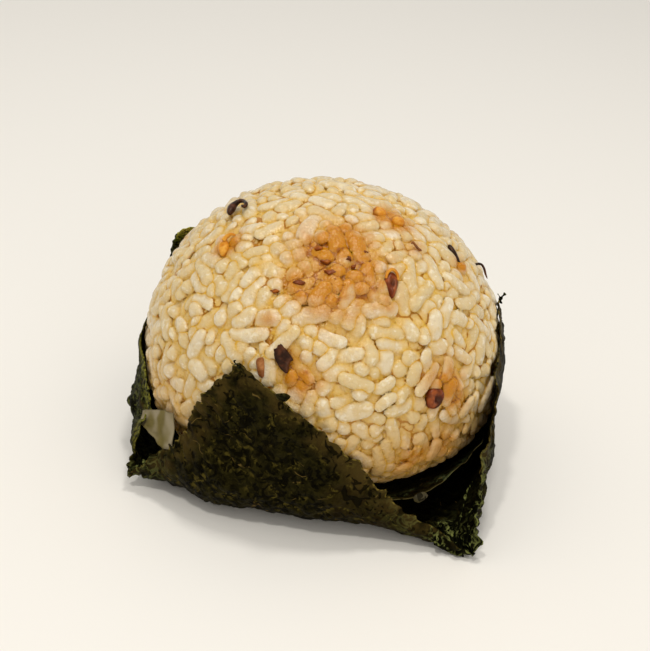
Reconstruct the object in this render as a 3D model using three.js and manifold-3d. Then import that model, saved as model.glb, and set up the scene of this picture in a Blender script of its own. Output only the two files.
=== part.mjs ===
// Onigiri: a round rice ball standing in an open square of nori whose four corners are folded up
// round it, with a second, inner nori layer hugging its underside. Millimetres, +Z up, the origin at
// the middle of the flat spot the parcel rests on, -Y toward the side where the nori is folded lowest.
import * as THREE from 'three';
import { mergeVertices } from 'three/addons/utils/BufferGeometryUtils.js';
import Module from 'manifold-3d';

const wasm = await Module();
wasm.setup();

// ---------- rice ball ----------
const BALL = { waist: 36.0, waistZ: 19.5, crown: 35.2, foot: 1.7, upperCurve: 2.1, lowerCurve: 2.6 };
const CORE_SINK = 1.8;         // core surface below the mean rice surface where grains show
const CORE_SINK_LOW = 0.25;    // and under the nori, where it is left smooth
const GRAIN_FROM_Z = 11.0;     // grains stand on the core above this height
const GRAIN_COUNT = 206;
const GRAIN = { length: 7.2, width: 3.9, thick: 3.0, sink: 1.15 };

// ---------- nori ----------
const SHEET_SIDE = 100.0;
const SHEET_THICK = 0.5;
const SHEET_CELLS = 26;
const SHEET_GAP = [1.65, 1.25];  // mid-surface of the sheet off the mean rice surface, low down and high up
const LINER_THICK = 0.4;
const LINER_GAP = [0.42, 0.95];  // the same for the inner layer, at the foot and at its rim
const LINER_ROUND = 44, LINER_RINGS = 6;
// The inner layer's rim: [azimuth, height on the ball, how far it flares off it, belly below the rim]
const LINER_RIM = [[-166, 10.0, 0.3, 0.2], [-156, 10.0, 0.3, 0.4], [-148, 14.0, 0.2, 1.8], [-141, 17.4, 0.2, 2.5], [-133, 15.5, 0.4, 1.4],
  [-122, 10, 1, 0], [-90, 9, 1, 0], [-74, 10, 2.0, 0], [-66, 11.2, 3.8, 0], [-60, 10.8, 4.2, 0], [-55, 10.4, 3.9, 0],
  [-47, 10.3, 3.6, 0], [-39, 10.6, 2.4, 0], [-32, 11.1, 1.6, 0], [-27, 11.9, 1.0, 0], [-10, 10.5, 0.2, 0],
  [30, 10, 1.5, 0], [80, 12, 0.8, 0], [130, 10, 1.5, 0], [170, 11, 1.1, 0.2]];

const HALF = SHEET_SIDE / 2 / Math.SQRT2;      // centre of the sheet to each of its four base corners
// Base corners, where two folds meet on the floor: front right, back right, back left, front left.
const EARS = { FR: [30.8, -38.7, 0.8], BR: [35, 29, 3], BL: [-27, 35, 3], FL: [-34.6, -25.8, 4.0] };
// The four folded corners. facing: direction in degrees; foot: where the bend starts; bend: its radius;
// tall: height kept by the free triangle; slide: how far its tip leans sideways; wrap: radius it curls to.
const FLAPS = [
  { facing: -100, foot: 23.5, bend: 12, tall: 0.80, slide: -9, wrap: 48, from: 'FL', to: 'FR' },
  { facing: -6, foot: 25, bend: 11, tall: 0.92, slide: 2, wrap: 60, from: 'FR', to: 'BR' },
  { facing: 78, foot: 23, bend: 13, tall: 0.95, slide: 0, wrap: 45, from: 'BR', to: 'BL' },
  { facing: 170, foot: 23.5, bend: 13, tall: 0.98, slide: 0, wrap: 45, from: 'BL', to: 'FL' },
];
// Two rims of the sheet from the front tip: [place along the rim, x, y, z]. 0 is the base corner.
const RIM_LEFT = [[-1, -14.8, -32.6, 33.0], [-.62, -21.4, -30.9, 24], [-.3, -25.4, -28.2, 15],
  [-.14, -29, -26.6, 9.5], [0, -34.6, -25.8, 4], [.1, -34.3, -24.7, 9], [.2, -33.2, -21, 12],
  [.29, -32.2, -16.9, 13], [.36, -33.3, -15.6, 16.5], [.56, -35.6, -9.4, 24], [.81, -34, -.5, 33],
  [1, -31, 7.8, 38.4]];
const RIM_RIGHT = [[-1, -14.8, -32.6, 33.0], [-.8, -4.9, -36.2, 27.5], [-.56, 5.6, -36.9, 19.5],
  [-.28, 16.7, -36.2, 8.5], [-.12, 24.7, -36.9, 3.2], [0, 30.8, -38.7, .8], [.14, 31.6, -37.1, 8],
  [.26, 31.6, -33.7, 14.5], [.42, 33.4, -26.7, 19], [.56, 34.2, -20.3, 24], [.74, 34.6, -11.4, 29.5],
  [1, 34.9, 2.4, 35.3]];
const RIM_REACH = 0.38;        // how far in from a rim it steers the sheet
// Swells of the sheet: [place s, place t, spread, dx, dy, dz]
const SWELLS = [[-.72, .38, .22, -2.2, -.4, 0], [-.1, -.93, .16, .6, -.4, 0], [.55, -.72, .3, -1.3, 0, 0]];

const clamp = (v, a, b) => Math.min(b, Math.max(a, v));
const softMax = (a, b, d) => 0.5 * (a + b + Math.sqrt((a - b) ** 2 + d * d));
const rad = (d) => d * Math.PI / 180;

function seeded(seed) {
  let a = seed >>> 0;
  return () => {
    a = (a + 0x6D2B79F5) | 0;
    let t = Math.imul(a ^ (a >>> 15), 1 | a);
    t = (t + Math.imul(t ^ (t >>> 7), 61 | t)) ^ t;
    return ((t ^ (t >>> 14)) >>> 0) / 4294967296;
  };
}

// Radius of the ball at a height, with its surface moved out by grow.
function ballRadius(z, grow = 0) {
  const a = BALL.waist + grow;
  if (z > BALL.waistZ) {
    const u = clamp((z - BALL.waistZ) / (BALL.crown + grow), 0, 1);
    return a * Math.pow(1 - Math.pow(u, BALL.upperCurve), 1 / BALL.upperCurve);
  }
  const u = clamp((BALL.waistZ - z) / (BALL.waistZ - BALL.foot + grow), 0, 1);
  return a * Math.pow(1 - Math.pow(u, BALL.lowerCurve), 1 / BALL.lowerCurve);
}

// Point and outward normal of the ball's profile at an angle: -90 is the foot, 0 the waist, 90 the crown.
function profile(deg, grow = 0) {
  const c = Math.max(Math.cos(rad(deg)), 0), s = Math.sin(rad(deg));
  const up = s >= 0, n = up ? BALL.upperCurve : BALL.lowerCurve;
  const h = (up ? BALL.crown : BALL.waistZ - BALL.foot) + grow, a = BALL.waist + grow;
  const r = a * Math.pow(c, 2 / n), z = BALL.waistZ + Math.sign(s) * h * Math.pow(Math.abs(s), 2 / n);
  const nr = Math.pow(Math.max(r / a, 1e-6), n - 1) / a;
  const nz = Math.sign(s) * Math.pow(Math.max(Math.abs(z - BALL.waistZ) / h, 1e-6), n - 1) / h;
  const l = Math.hypot(nr, nz) || 1;
  return { r, z, nr: nr / l, nz: nz / l };
}

function toManifold(geometry) {
  geometry.deleteAttribute('normal');
  geometry.deleteAttribute('uv');
  const g = mergeVertices(geometry, 1e-4);
  return new wasm.Manifold(new wasm.Mesh({
    numProp: 3,
    vertProperties: Float32Array.from(g.attributes.position.array),
    triVerts: Uint32Array.from(g.index.array),
  }));
}

function toGeometry(solid) {
  const m = solid.getMesh();
  const g = new THREE.BufferGeometry();
  g.setAttribute('position', new THREE.BufferAttribute(Float32Array.from(m.vertProperties), 3));
  g.setIndex(new THREE.BufferAttribute(Uint32Array.from(m.triVerts), 1));
  g.computeVertexNormals();
  return g;
}

function fromFaces(points, faces) {
  const g = new THREE.BufferGeometry();
  g.setAttribute('position', new THREE.BufferAttribute(Float32Array.from(points.flat()), 3));
  g.setIndex(faces.flat());
  g.computeVertexNormals();
  return g;
}

// ---------- the rice ----------
function core() {
  const outline = [new THREE.Vector2(0, BALL.foot + CORE_SINK_LOW)];
  for (const deg of [-84, -72, -58, -42, -26, -10, 6, 22, 38, 54, 70]) {
    const p = profile(deg);
    const t = clamp((p.z - GRAIN_FROM_Z + 4) / 5, 0, 1);
    const sink = CORE_SINK_LOW + (CORE_SINK - CORE_SINK_LOW) * t;
    outline.push(new THREE.Vector2(p.r - p.nr * sink, p.z - p.nz * sink));
  }
  outline.push(new THREE.Vector2(0, BALL.waistZ + BALL.crown - CORE_SINK));
  const g = new THREE.LatheGeometry(outline, 28);
  g.rotateX(Math.PI / 2);
  return g;
}

// A grain: a bent lozenge of two rings of sides and two tips, lying along x, flattened in z.
function grain(length, width, thick, bend, sides, rnd) {
  const pts = [[-length / 2, 0, -bend * 0.9]], faces = [], rings = 2;
  for (let k = 0; k < rings; k++) {
    const x = (k === 0 ? -1 : 1) * length * 0.26;
    const puff = 0.94 + 0.12 * rnd(), turn = 0.5 * k;
    for (let i = 0; i < sides; i++) {
      const a = 2 * Math.PI * (i + turn) / sides;
      pts.push([x, Math.cos(a) * width / 2 * puff, Math.sin(a) * thick / 2 * puff - bend * 0.2]);
    }
  }
  pts.push([length / 2, 0, -bend * 0.9]);
  const last = pts.length - 1, at = (k, i) => 1 + k * sides + (i % sides);
  for (let i = 0; i < sides; i++) {
    faces.push([0, at(0, i + 1), at(0, i)]);
    faces.push([at(0, i), at(0, i + 1), at(1, i)]);
    faces.push([at(1, i), at(0, i + 1), at(1, i + 1)]);
    faces.push([last, at(1, i), at(1, i + 1)]);
  }
  return fromFaces(pts, faces);
}

// Sets a grain on the ball: azimuth and profile angle in degrees, spin in the surface, lift of one end.
function place(g, azimuth, deg, spin, lift, sink) {
  const p = profile(deg), a = rad(azimuth);
  const n = new THREE.Vector3(p.nr * Math.cos(a), p.nr * Math.sin(a), p.nz);
  const east = new THREE.Vector3(-Math.sin(a), Math.cos(a), 0);
  const north = new THREE.Vector3().crossVectors(n, east);
  const along = east.clone().multiplyScalar(Math.cos(spin)).addScaledVector(north, Math.sin(spin));
  const axis = along.clone().multiplyScalar(Math.cos(lift)).addScaledVector(n, Math.sin(lift)).normalize();
  const side = new THREE.Vector3().crossVectors(n, axis).normalize();
  const up = new THREE.Vector3().crossVectors(axis, side);
  const at = new THREE.Vector3(p.r * Math.cos(a), p.r * Math.sin(a), p.z).addScaledVector(n, -sink);
  g.applyMatrix4(new THREE.Matrix4().makeBasis(axis, side, up).setPosition(at));
  return at;
}

// Dark and stained grains that show: [azimuth, height, length, width, spin]
const DARK = [[-177, 50.2, 4.2, 2.4, .6], [-149, 47, 5, 3, .2], [-102.6, 35.7, 5.6, 4, 1.1],
  [-109, 32.9, 3.4, 1.8, 1.4], [-61.9, 46.4, 5, 3, 1.2], [-52.7, 27.3, 3.8, 3.4, 0], [-12.7, 46.4, 4.4, 2.2, 1.9],
  [-37.8, 49.7, 3, 1.6, .8], [-28.7, 53.2, 3.4, 2.8, .2], [-92, 48.6, 3, 2, .5]];

function angleAtHeight(z) {
  let lo = -90, hi = 90;
  for (let i = 0; i < 40; i++) {
    const mid = (lo + hi) / 2;
    if (profile(mid).z < z) lo = mid; else hi = mid;
  }
  return (lo + hi) / 2;
}

function riceBall() {
  const rnd = seeded(7411);
  const solids = [toManifold(core())];
  const taken = [];
  for (const [az, z, length, width, spin] of DARK) {
    const g = grain(length, width, width * 0.9, 0.2, 6, rnd);
    taken.push(place(g, az, angleAtHeight(z), spin, 0.1, 0.75));
    solids.push(toManifold(g));
  }
  // even spread by area from the first grain height up to the crown
  const steps = [];
  const from = angleAtHeight(GRAIN_FROM_Z);
  let area = 0;
  for (let d = from; d < 90; d += 1) {
    const a = profile(d), b = profile(d + 1);
    area += Math.hypot(b.r - a.r, b.z - a.z) * (a.r + b.r) / 2;
    steps.push([d + 0.5, area]);
  }
  const golden = 180 * (3 - Math.sqrt(5));
  for (let i = 0; i < GRAIN_COUNT; i++) {
    const want = area * (i + 0.5) / GRAIN_COUNT;
    const deg = steps.find((s) => s[1] >= want)[0] + (rnd() - 0.5) * 2;
    const az = i * golden + (rnd() - 0.5) * 4;
    const size = 0.86 + 0.26 * rnd();
    const g = grain(GRAIN.length * size, GRAIN.width * (0.92 + 0.16 * rnd()), GRAIN.thick, 0.35 * rnd(),
      5, rnd);
    const low = profile(deg).z < 21;
    const lift = (rnd() - 0.5) * (low ? 0.2 : 0.55);
    const at = place(g, az, deg, rnd() * Math.PI, lift, GRAIN.sink + (low ? 0.15 : 0.25 * (rnd() - 0.5)));
    if (taken.some((t) => t.distanceTo(at) < 3.6)) continue;
    solids.push(toManifold(g));
  }
  let whole = wasm.Manifold.union(solids);
  whole = whole.simplify ? whole.simplify(0.08) : whole;
  const bodies = whole.decompose().sort((a, b) => b.volume() - a.volume());
  return toGeometry(bodies[0]);
}

// ---------- the nori ----------
function alongRim(rows) {
  const x = rows.map((r) => r[0]), P = rows.map((r) => r.slice(1)), n = rows.length;
  const slope = (i) => P[i + 1].map((v, k) => (v - P[i][k]) / (x[i + 1] - x[i]));
  const ear = x.indexOf(0);
  const tangent = (i, side) => {
    if (i === 0) return slope(0);
    if (i === n - 1) return slope(n - 2);
    if (i === ear) return side < 0 ? slope(i - 1) : slope(i);
    const a = slope(i - 1), b = slope(i), ha = x[i] - x[i - 1], hb = x[i + 1] - x[i];
    return a.map((v, k) => (b[k] * ha + v * hb) / (ha + hb));
  };
  return (u) => {
    const v = clamp(u, x[0], x[n - 1]);
    let i = 0;
    while (i < n - 2 && v > x[i + 1]) i++;
    const H = x[i + 1] - x[i], w = (v - x[i]) / H, m0 = tangent(i, 1), m1 = tangent(i + 1, -1);
    return [0, 1, 2].map((k) => (2 * w ** 3 - 3 * w ** 2 + 1) * P[i][k] + (w ** 3 - 2 * w ** 2 + w) * H * m0[k]
      + (-2 * w ** 3 + 3 * w ** 2) * P[i + 1][k] + (w ** 3 - w ** 2) * H * m1[k]);
  };
}
const leftRim = alongRim(RIM_LEFT), rightRim = alongRim(RIM_RIGHT);

function clearOfBall(p, gap, soft) {
  const r = Math.hypot(p[0], p[1]);
  if (p[2] > BALL.waistZ + BALL.crown + 1 || p[2] < 0.6 || r < 1e-6) return p;
  const f = softMax(r, ballRadius(p[2], gap), soft) / r;
  return [p[0] * f, p[1] * f, p[2]];
}

// The square folded up round the ball. s and t run from -1 to 1 along its sides; (-1,-1) is the front tip.
function folded(s, t) {
  const front = -(s + t) * HALF, right = (s - t) * HALF;
  const turns = [[front, right], [right, -front], [-front, -right], [-right, front]];
  let i = turns.findIndex(([p, q]) => p >= 0 && Math.abs(q) <= p + 1e-9);
  if (i < 0) i = 0;
  const [p, q] = turns[i], f = FLAPS[i], a = rad(f.facing);
  const out = [Math.cos(a), Math.sin(a)], side = [-out[1], out[0]];
  const dot = (u, v) => u[0] * v[0] + u[1] * v[1];
  const u = Math.pow(clamp(Math.abs(q) / HALF, 0, 1), 1.8);
  const reach = p > HALF ? HALF + (p - HALF) * f.tall : p;
  const start = f.foot + (HALF - f.foot) * u, bend = f.bend * (1 - u) + 0.8;
  const L = reach - start, turn = clamp(L / bend, 0, Math.PI / 2);
  let D = L < 0 ? reach : start + bend * Math.sin(turn);
  let Z = L < 0 ? 0 : bend * (1 - Math.cos(turn)) + Math.max(L - bend * Math.PI / 2, 0);
  const w = clamp(Math.abs(q) / Math.max(p, 1e-6), 0, 1);
  const ear = q > 0 ? EARS[f.to] : EARS[f.from];
  D *= 1 + (dot(ear, out) / HALF - 1) * w * w;
  let T = q * (q > 0 ? 1 : -1) * dot(ear, side) / HALF;
  Z += ear[2] * Math.pow(clamp(Math.min(p, HALF) / HALF, 0, 1), 3) * Math.pow(clamp(Math.abs(q) / HALF, 0, 1), 2);
  if (Z > BALL.waistZ) D += Math.min(ballRadius(Z, 0.9) - BALL.waist, 0);
  T += f.slide * Math.pow(clamp(Z / 38, 0, 1), 1.3);
  D -= f.wrap * (1 - Math.cos(clamp(T / f.wrap, -1.4, 1.4))) * clamp(Z / 16, 0, 1) ** 2;
  return clearOfBall([out[0] * D + side[0] * T, out[1] * D + side[1] * T, Z], 0.9, 1.0);
}

function sheetPoint(s, t) {
  const P = folded(s, t), sub = (a, b) => a.map((v, k) => v - b[k]);
  const dA = sub(leftRim(t), folded(-1, t)), dB = sub(rightRim(s), folded(s, -1));
  const dF = sub(leftRim(-1), folded(-1, -1));
  const ws = Math.exp(-(((s + 1) / RIM_REACH) ** 2)), wt = Math.exp(-(((t + 1) / RIM_REACH) ** 2));
  let Q = P.map((v, k) => v + dA[k] * ws + dB[k] * wt - dF[k] * ws * wt);
  for (const [a, b, w, ...d] of SWELLS) {
    const g = Math.exp(-((s - a) ** 2 + (t - b) ** 2) / w ** 2);
    Q = Q.map((v, k) => v + g * d[k]);
  }
  // shallow waves of the dry leaf, fading out on the flat spot it rests on
  const away = clamp((Q[2] - 2) / 8, 0, 1);
  const wave = 0.55 * Math.sin(7.1 * s + 3.3 * t + 0.6) * Math.cos(5.3 * t - 2.2 * s) * away;
  const r = Math.hypot(Q[0], Q[1]) || 1;
  Q = [Q[0] * (1 + wave / r), Q[1] * (1 + wave / r), Math.max(Q[2], 0)];
  const high = clamp((Q[2] - 17) / 6, 0, 1);
  Q = clearOfBall(Q, SHEET_GAP[0] + (SHEET_GAP[1] - SHEET_GAP[0]) * high, 0.4);
  return [Q[0], Q[1], Q[2] + SHEET_THICK / 2];
}

// A closed leaf from a grid of mid-surface points: two like faces and a rim. wrapped: the grid closes round.
function leaf(grid, thick, wrapped) {
  const nu = grid.length, nv = grid[0].length;
  const V = (i, j) => new THREE.Vector3(...grid[wrapped ? (i + nu) % nu : clamp(i, 0, nu - 1)][clamp(j, 0, nv - 1)]);
  const top = [], bottom = [];
  for (let i = 0; i < nu; i++) {
    for (let j = 0; j < nv; j++) {
      const du = V(i + 1, j).sub(V(i - 1, j)), dv = V(i, j + 1).sub(V(i, j - 1));
      const n = new THREE.Vector3().crossVectors(du, dv).normalize();
      const p = new THREE.Vector3(...grid[i][j]);
      top.push(p.clone().addScaledVector(n, thick / 2).toArray());
      bottom.push(p.clone().addScaledVector(n, -thick / 2).toArray());
    }
  }
  return { nu, nv, top, bottom };
}

function sheet() {
  const n = SHEET_CELLS, grid = [];
  for (let i = 0; i <= n; i++) {
    const row = [];
    for (let j = 0; j <= n; j++) row.push(sheetPoint(2 * i / n - 1, 2 * j / n - 1));
    grid.push(row);
  }
  const { nu, nv, top, bottom } = leaf(grid, SHEET_THICK, false);
  for (const face of [top, bottom]) {
    for (const p of face) {
      if (p[2] < 0.02) p[2] = 0;
      if (face === bottom && p[2] < 0) p[2] = 0;
    }
  }
  const N = nu * nv, faces = [], id = (i, j) => i * nv + j;
  for (let i = 0; i < n; i++) {
    for (let j = 0; j < n; j++) {
      const a = id(i, j), b = id(i + 1, j), c = id(i + 1, j + 1), d = id(i, j + 1);
      const cut = (i < n / 2) === (j < n / 2);
      const tris = cut ? [[a, b, d], [b, c, d]] : [[a, b, c], [a, c, d]];
      for (const [x, y, z] of tris) {
        faces.push([x, y, z]);
        faces.push([N + x, N + z, N + y]);
      }
    }
  }
  for (let k = 0; k < n; k++) {
    for (const [a, b] of [[id(k + 1, 0), id(k, 0)], [id(k, n), id(k + 1, n)], [id(0, k), id(0, k + 1)], [id(n, k + 1), id(n, k)]]) {
      faces.push([a, b, N + b]);
      faces.push([a, N + b, N + a]);
    }
  }
  return toGeometry(toManifold(fromFaces([...top, ...bottom], faces)));
}

// Turns a table of [azimuth, ...values], in rising order, into a smooth closed curve of the azimuth.
function roundTable(rows) {
  const n = rows.length;
  return (azimuth) => {
    const az = ((azimuth + 180) % 360 + 360) % 360 - 180;
    let i = rows.findIndex((r) => r[0] > az) - 1;
    if (i < 0) i = n - 1;
    const a = rows[i], b = rows[(i + 1) % n];
    const span = (b[0] - a[0] + 360) % 360, w = ((az - a[0] + 360) % 360) / span, u = w * w * (3 - 2 * w);
    return a.slice(1).map((v, k) => v + (b[k + 1] - v) * u);
  };
}
const linerAt = roundTable(LINER_RIM);

function linerPoint(az, w, side) {
  const [top, flare, belly] = linerAt(az), end = angleAtHeight(top);
  const deg = -90 + (end + 90) * Math.pow(w, 0.8), p = profile(deg), a = rad(az);
  const off = LINER_GAP[0] + (LINER_GAP[1] - LINER_GAP[0]) * clamp((p.z - 4.5) / 4.5, 0, 1)
    + flare * w ** 4 + belly * Math.exp(-(((w - 0.84) / 0.13) ** 2)) + side;
  const r = p.r + p.nr * off, z = p.z + p.nz * off;
  return [r * Math.cos(a), r * Math.sin(a), z];
}

function liner() {
  const top = [], bottom = [], R = LINER_ROUND, K = LINER_RINGS;
  for (const [list, side] of [[top, -LINER_THICK / 2], [bottom, LINER_THICK / 2]]) {
    list.push(linerPoint(0, 0, side));
    for (let k = 1; k <= K; k++) {
      for (let i = 0; i < R; i++) list.push(linerPoint(360 * i / R, k / K, side));
    }
  }
  const N = top.length, faces = [], id = (k, i) => 1 + (k - 1) * R + (i % R);
  for (let i = 0; i < R; i++) {
    faces.push([0, id(1, i), id(1, i + 1)], [N, N + id(1, i + 1), N + id(1, i)]);
    for (let k = 1; k < K; k++) {
      const a = id(k, i), b = id(k + 1, i), c = id(k + 1, i + 1), d = id(k, i + 1);
      faces.push([a, b, c], [a, c, d], [N + a, N + c, N + b], [N + a, N + d, N + c]);
    }
    const a = id(K, i), b = id(K, i + 1);
    faces.push([a, N + a, N + b], [a, N + b, b]);
  }
  return toGeometry(toManifold(fromFaces([...top, ...bottom], faces)));
}

function named(name, geometry, color, roughness) {
  const mesh = new THREE.Mesh(geometry, new THREE.MeshStandardMaterial({ color, roughness, metalness: 0 }));
  mesh.name = name;
  return mesh;
}

const onigiri = new THREE.Group();
onigiri.name = 'onigiri';
onigiri.add(named('rice_ball', riceBall(), 0xe2cb9c, 0.4));
onigiri.add(named('nori_sheet', sheet(), 0x23281a, 0.6));
onigiri.add(named('nori_liner', liner(), 0x2b2f1e, 0.6));

export default onigiri;
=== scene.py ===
"""Onigiri: a round rice ball standing in a folded square of nori. The looks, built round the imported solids.

Lengths are in millimetres until a mesh is made, and in metres in Blender.
"""

import math

import bpy
import numpy as np
from mathutils import Matrix, Vector


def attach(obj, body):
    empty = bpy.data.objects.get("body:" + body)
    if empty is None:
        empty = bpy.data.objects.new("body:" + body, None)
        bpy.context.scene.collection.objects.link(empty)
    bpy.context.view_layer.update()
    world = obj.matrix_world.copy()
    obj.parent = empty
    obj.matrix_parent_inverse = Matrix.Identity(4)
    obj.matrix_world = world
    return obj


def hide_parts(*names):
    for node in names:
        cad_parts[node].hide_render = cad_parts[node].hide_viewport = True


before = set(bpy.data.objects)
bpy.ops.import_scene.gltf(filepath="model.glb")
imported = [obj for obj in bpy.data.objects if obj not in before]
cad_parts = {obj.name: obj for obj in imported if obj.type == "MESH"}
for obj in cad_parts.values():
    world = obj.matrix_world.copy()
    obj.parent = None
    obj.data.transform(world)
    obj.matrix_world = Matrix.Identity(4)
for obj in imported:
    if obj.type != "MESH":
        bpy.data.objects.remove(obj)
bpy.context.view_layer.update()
MM = 0.001

# ---------------------------------------------------------------- sizes of the ball and its nori
WAIST, WAIST_Z, CROWN, FOOT_Z = 36.0, 19.5, 35.2, 1.7
CURVE_UP, CURVE_DOWN = 2.1, 2.6
SHEET_SIDE = 100.0
HALF = SHEET_SIDE / 2 / math.sqrt(2)
EARS = {"FR": (30.8, -38.7, 0.8), "BR": (35, 29, 3), "BL": (-27, 35, 3), "FL": (-34.6, -25.0, 3.0)}
# The flaps: facing in degrees, where the bend starts, its radius, how much of the free length stands,
# how far the tip leans sideways, radius it curls to, the ears it starts from and ends at
FLAPS = [
    (-100, 23.5, 12, 0.80, -9, 48, "FL", "FR"),
    (-6, 25, 11, 0.92, 2, 60, "FR", "BR"),
    (78, 23, 13, 0.95, 0, 45, "BR", "BL"),
    (170, 23.5, 13, 0.98, 0, 45, "BL", "FL"),
]
# The near rims from the front tip: place along the rim (0 is the base corner), x, y, z
RIM_LEFT = [
    (-1, -14.8, -32.6, 34.1), (-.62, -21.4, -30.9, 24), (-.3, -25.4, -28.2, 15), (-.14, -29, -26.6, 9.5),
    (0, -34.6, -24.8, 2.8), (.1, -34.3, -24.7, 9), (.2, -33.2, -21, 12), (.29, -31.8, -16.7, 13),
    (.36, -32.9, -15.4, 16.5), (.52, -34.7, -11.0, 21.4), (.58, -35.7, -5.0, 22.8), (.64, -35.6, 3.0, 22.4),
    (.70, -33.7, 11.6, 25.2), (.77, -32.1, 15.4, 29.4), (.83, -31.6, 14.2, 33.8), (.88, -31.5, 11.6, 37.4),
    (.93, -31.0, 10.2, 39.3), (1, -28.2, 13.6, 39.0),
]
RIM_RIGHT = [
    (-1, -14.8, -32.6, 34.1), (-.8, -4.9, -36.2, 27.8), (-.56, 5.6, -36.9, 19.5), (-.28, 16.7, -36.2, 8.5),
    (-.12, 24.7, -36.9, 3.2), (0, 30.8, -38.7, .8), (.14, 31.4, -37.0, 8), (.26, 31.2, -33.0, 14.5),
    (.42, 32.8, -26.2, 19), (.56, 33.7, -18.8, 24), (.74, 34.0, -9.5, 29.5), (1, 33.7, 2.4, 34.2),
]
RIM_REACH = 0.38
# Swells of the sheet: place s, place t, spread, and how far it moves in x, y and z
SWELLS = [
    (-.74, .26, .19, -2.4, -.4, 0), (-.1, -.93, .16, .6, -.4, 0), (.55, -.72, .3, -2.0, 0, 0),
    (-.14, -.72, .2, -.3, 1.5, .9), (-.74, -.26, .24, -.5, -2.2, -2.4), (-.42, -.50, .2, 0, -1.0, -.4),
]
# The inner layer's rim: azimuth, height on the ball, flare off it, belly below the rim
LINER_RIM = [
    (-166, 9.0, 0.3, 0.2), (-150, 9.0, 0.3, 0.2), (-122, 9.5, 1, 0), (-90, 9, 1, 0), (-74, 10, 2.0, 0),
    (-66, 11.9, 3.8, 0), (-60, 11.7, 4.0, 0), (-55, 11.6, 3.5, 0), (-50, 11.9, 3.0, 0), (-45, 12.6, 2.2, 0),
    (-40, 13.0, 1.7, 0), (-33, 13.6, .9, 0), (-10, 10.5, 0.2, 0), (30, 10, 1.5, 0), (80, 12, 0.8, 0),
    (130, 10, 1.5, 0), (170, 11, 1.1, 0.2),
]


# ---------------------------------------------------------------- small tools
def smooth(low, high, value):
    """0 below low, 1 above high, with a soft change between. low may be above high."""
    u = np.clip((value - low) / (high - low), 0, 1)
    return u * u * (3 - 2 * u)


def hump(value, middle, wide):
    """1 at middle, dying away over about wide on each side."""
    return np.exp(-(((value - middle) / wide) ** 2))


def unit(v):
    """Vectors brought to length one."""
    return v / np.maximum(np.linalg.norm(v, axis=-1, keepdims=True), 1e-9)


def field(p, cell, seed):
    """A smooth random field in space, -1 to 1, whose lumps are about one cell across."""
    q = np.asarray(p, float) / cell + 1000.0
    base = np.floor(q).astype(np.int64)
    f = q - base
    u = f * f * f * (f * (f * 6 - 15) + 10)
    total = np.zeros(q.shape[:-1])
    for corner in range(8):
        step = np.array([corner & 1, corner >> 1 & 1, corner >> 2 & 1])
        c = base + step
        h = (c[..., 0] * 73856093) ^ (c[..., 1] * 19349663) ^ (c[..., 2] * 83492791) ^ (seed * 40503077)
        h = ((h & 0xFFFFFFFF) ^ ((h & 0xFFFFFFFF) >> 13)) * 1274126177 & 0xFFFFFFFF
        h = h ^ (h >> 16)
        weight = np.prod(np.where(step == 1, u, 1 - u), axis=-1)
        total += ((h & 0xFFFF) / 32767.5 - 1) * weight
    return total


def ball_radius(z, grow=0.0):
    """Radius of the ball at a height, with its surface moved out by grow."""
    z = np.asarray(z, float)
    a = WAIST + grow
    up = np.clip((z - WAIST_Z) / (CROWN + grow), 0, 1)
    down = np.clip((WAIST_Z - z) / (WAIST_Z - FOOT_Z + grow), 0, 1)
    above = a * np.clip(1 - up**CURVE_UP, 0, 1) ** (1 / CURVE_UP)
    below = a * np.clip(1 - down**CURVE_DOWN, 0, 1) ** (1 / CURVE_DOWN)
    return np.where(z > WAIST_Z, above, below)


def shell(p):
    """How far points stand out of the ball's mean surface, and the way out there."""
    r = np.maximum(np.hypot(p[..., 0], p[..., 1]), 1e-6)
    dz = p[..., 2] - WAIST_Z
    n = np.where(dz > 0, CURVE_UP, CURVE_DOWN)
    h = np.where(dz > 0, CROWN, WAIST_Z - FOOT_Z)
    u, v = r / WAIST, np.maximum(np.abs(dz) / h, 1e-6)
    whole = (u**n + v**n) ** (1 / n)
    gr = whole ** (1 - n) * u ** (n - 1) / WAIST
    gz = whole ** (1 - n) * v ** (n - 1) / h * np.sign(dz)
    steep = np.hypot(gr, gz)
    way = np.stack([gr * p[..., 0] / r, gr * p[..., 1] / r, gz], axis=-1) / steep[..., None]
    return (whole - 1) / steep, way


def profile(degrees):
    """Radius, height and outward normal of the ball's profile: -90 is the foot, 0 the waist, 90 the crown."""
    a = np.radians(degrees)
    c, s = np.maximum(np.cos(a), 0), np.sin(a)
    n = np.where(s >= 0, CURVE_UP, CURVE_DOWN)
    h = np.where(s >= 0, CROWN, WAIST_Z - FOOT_Z)
    r = WAIST * c ** (2 / n)
    z = WAIST_Z + np.sign(s) * h * np.abs(s) ** (2 / n)
    nr = np.maximum(r / WAIST, 1e-6) ** (n - 1) / WAIST
    nz = np.sign(s) * np.maximum(np.abs(z - WAIST_Z) / h, 1e-6) ** (n - 1) / h
    length = np.hypot(nr, nz)
    return r, z, nr / length, nz / length


ANGLES = np.linspace(-90, 90, 721)


def angle_at_height(z):
    """The profile angle in degrees at which the ball reaches a height."""
    return np.interp(z, profile(ANGLES)[1], ANGLES)


def on_ball(azimuth, z, out=0.0):
    """The point of the ball's mean surface at an azimuth in degrees and a height, moved out by out."""
    r, z, nr, nz = profile(angle_at_height(z))
    a = np.radians(azimuth)
    r, z = r + nr * out, z + nz * out
    return np.stack([r * np.cos(a), r * np.sin(a), z + 0 * a], axis=-1)


# Directions of the front view: level to the right, and toward the viewer
LEVEL = np.array([0.996, 0.041, 0.081])
TOWARD = np.array([0.0, -0.891, 0.454])


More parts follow.
